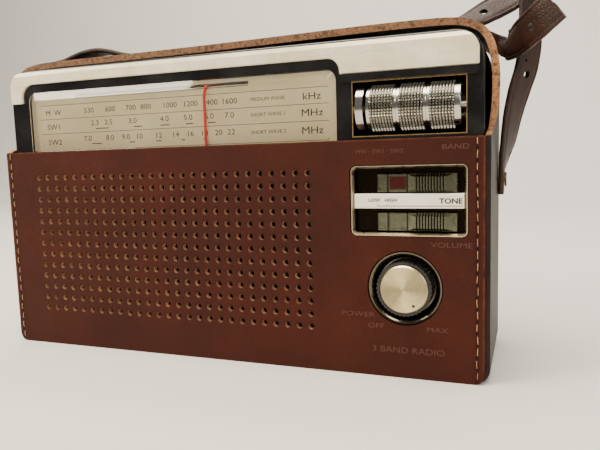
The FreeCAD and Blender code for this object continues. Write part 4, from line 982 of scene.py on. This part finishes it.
def buildStrap(name, stations, holes, endSlant, body, node):
    # holes: place along in stations, shift across and radius in mm
    steps = strapForm["steps"]
    frames = smoothPath(stations, steps)
    section = strapSection(strapForm)
    shape = bmesh.new()
    rows = []
    for number, (centre, along, across, face) in enumerate(frames):
        wave = sum(height * math.sin(number * rate + phase) for height, rate, phase in strapForm["ripples"])
        wider = 1 + wave * strapForm["rippleGain"]
        slant = endSlant if number == len(frames) - 1 else 0
        rows.append([
            shape.verts.new(centre + across * (u * wider) + face * v - along * max(0, u) * slant)
            for u, v in section])
    count = len(section)
    for first, second in zip(rows, rows[1:]):
        for i in range(count):
            j = (i + 1) % count
            shape.faces.new((first[i], first[j], second[j], second[i]))
    shape.faces.new(list(reversed(rows[0])))
    shape.faces.new(rows[-1])
    bmesh.ops.recalc_face_normals(shape, faces=shape.faces)
    mesh = meshOf(name, shape)
    cutters = bmesh.new()
    for where, shift, radius in holes:
        index = min(len(frames) - 1, int(round(where * steps)))
        centre, along, across, face = frames[index]
        turn = Matrix((along, across, face)).transposed().to_4x4()
        spot = Matrix.Translation(centre + across * shift * mm) @ turn
        bmesh.ops.create_cone(
            cutters, cap_ends=True, segments=28, radius1=radius * mm, radius2=radius * mm,
            depth=8 * mm, matrix=spot)
    holder = bpy.data.objects.new(name + "Holder", mesh)
    punch = bpy.data.objects.new(name + "PunchHolder", meshOf(name + "Punch", cutters))
    for item in (holder, punch):
        bpy.context.scene.collection.objects.link(item)
    boolean = holder.modifiers.new("Punch", "BOOLEAN")
    boolean.object = punch
    boolean.operation = "DIFFERENCE"
    boolean.solver = "EXACT"
    graph = bpy.context.evaluated_depsgraph_get()
    cut = bpy.data.meshes.new_from_object(holder.evaluated_get(graph))
    for item in (holder, punch):
        bpy.data.objects.remove(item)
    cut.name = name
    piece = pieceFromMesh(name, cut, body, "strapLeather", False)
    cut.shade_smooth()
    cut.set_sharp_from_angle(angle=math.radians(50))
    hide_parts(node)


strapHoles = [
    (0.78, 0, 1.3), (3.55, 0, 1.5), (17.6, 0, 1.5), (19.4, 0, 1.5), (22.6, 0, 1.6), (26.6, 0, 1.5),
    (34.3, 0, 1.5), (37.75, -2.0, 0.5), (38.3, 0, 1.5), (42.9, 3.6, 1.4), (44.8, 0, 1.3),
]
tailHoles = [(0.55, 0, 1.3), (5.4, 0, 1.4), (8.7, 0, 1.4)]
buildStrap("leather_strap", strapStations, strapHoles, 0.55, "radio", "carry_strap")
buildStrap("leather_strap_tail", tailStations, tailHoles, 0.2, "radio", "strap_tail")
print("stage: strap laid")


def panel(name, position, target, size, power, colour):
    data = bpy.data.lights.new(name, "AREA")
    data.shape = "RECTANGLE"
    data.size, data.size_y = size
    data.energy = power
    data.color = colour
    lamp = bpy.data.objects.new(name, data)
    bpy.context.scene.collection.objects.link(lamp)
    lamp.location = position
    lamp.rotation_euler = (Vector(target) - Vector(position)).to_track_quat("-Z", "Y").to_euler()


studio = {
    "halfWidth": 3.0, "floor": (0.72, 0.70, 0.66, 1), "shade": (0.66, 0.64, 0.6, 1),
    "profile": [(-2.2, 0.0), (0.75, 0.0), (0.93, 0.05), (1.05, 0.17), (1.1, 0.35), (1.1, 2.2)],
    "sky": (0.9, 0.86, 0.8, 1), "skyStrength": 0.22,
}


def buildStage():
    # a pale floor that turns up into a pale wall well behind the radio
    shape = bmesh.new()
    wide = studio["halfWidth"]
    rows = [[shape.verts.new((x, y, z)) for x in (-wide, wide)] for y, z in studio["profile"]]
    for first, second in zip(rows, rows[1:]):
        shape.faces.new((first[0], first[1], second[1], second[0]))
    mesh = meshOf("studio_floor", shape)
    mesh.shade_smooth()
    floor = bpy.data.objects.new("studio_floor", mesh)
    bpy.context.scene.collection.objects.link(floor)
    material, tree, shader = newMaterial("floorPaint", Roughness=0.7)
    shade = span(tree, noise(tree, objectPoint(tree), 3, 2), 0, 1, 0.0, 0.1)
    colour = blendColour(tree, shade, studio["floor"], studio["shade"])
    link(tree, colour, shader.inputs["Base Color"])
    mesh.materials.append(material)
    world = bpy.data.worlds.new("studio")
    world.use_nodes = True
    sky = world.node_tree.nodes["Background"]
    sky.inputs["Color"].default_value = studio["sky"]
    sky.inputs["Strength"].default_value = studio["skyStrength"]
    bpy.context.scene.world = world


radioMiddle = (0, 0, 0.06)
wallMiddle = (0, 1.1, 0.4)
lights = {
    "top": {"place": (-0.1, -0.15, 1.0), "size": (0.8, 0.5), "power": 17.0, "colour": (1.0, 0.9, 0.74)},
    "left": {"place": (-0.9, -0.7, 0.75), "size": (0.5, 0.4), "power": 15.0, "colour": (1.0, 0.92, 0.78)},
    "front": {"place": (0.35, -1.1, 1.0), "size": (0.5, 0.4), "power": 11.0, "colour": (1.0, 0.92, 0.78)},
    "right": {"place": (1.1, -0.3, 0.55), "size": (0.4, 0.6), "power": 2.5, "colour": (0.98, 0.98, 1.0)},
    "wall": {"place": (0.0, 0.55, 1.3), "size": (1.4, 0.4), "power": 16.0, "colour": (1.0, 0.96, 0.9)},
}
buildStage()
for label, look in lights.items():
    target = wallMiddle if label == "wall" else radioMiddle
    panel("light_" + label, look["place"], target, look["size"], look["power"], look["colour"])

cameraView = {
    "place": (0.1215, -0.2500, 0.0839), "right": (0.9357, 0.3517, -0.0296),
    "up": (-0.0122, 0.1160, 0.9932), "lens": 36.75,
}


def buildCamera(view):
    data = bpy.data.cameras.new("camera")
    data.lens = view["lens"]
    data.sensor_width = 36
    data.clip_start = 0.01
    camera = bpy.data.objects.new("camera", data)
    bpy.context.scene.collection.objects.link(camera)
    right = Vector(view["right"]).normalized()
    up = Vector(view["up"])
    back = right.cross(up).normalized()
    up = back.cross(right).normalized()
    turn = Matrix((right, up, back)).transposed().to_4x4()
    camera.matrix_world = Matrix.Translation(view["place"]) @ turn
    bpy.context.scene.camera = camera


buildCamera(cameraView)
print("stage: camera and light set")
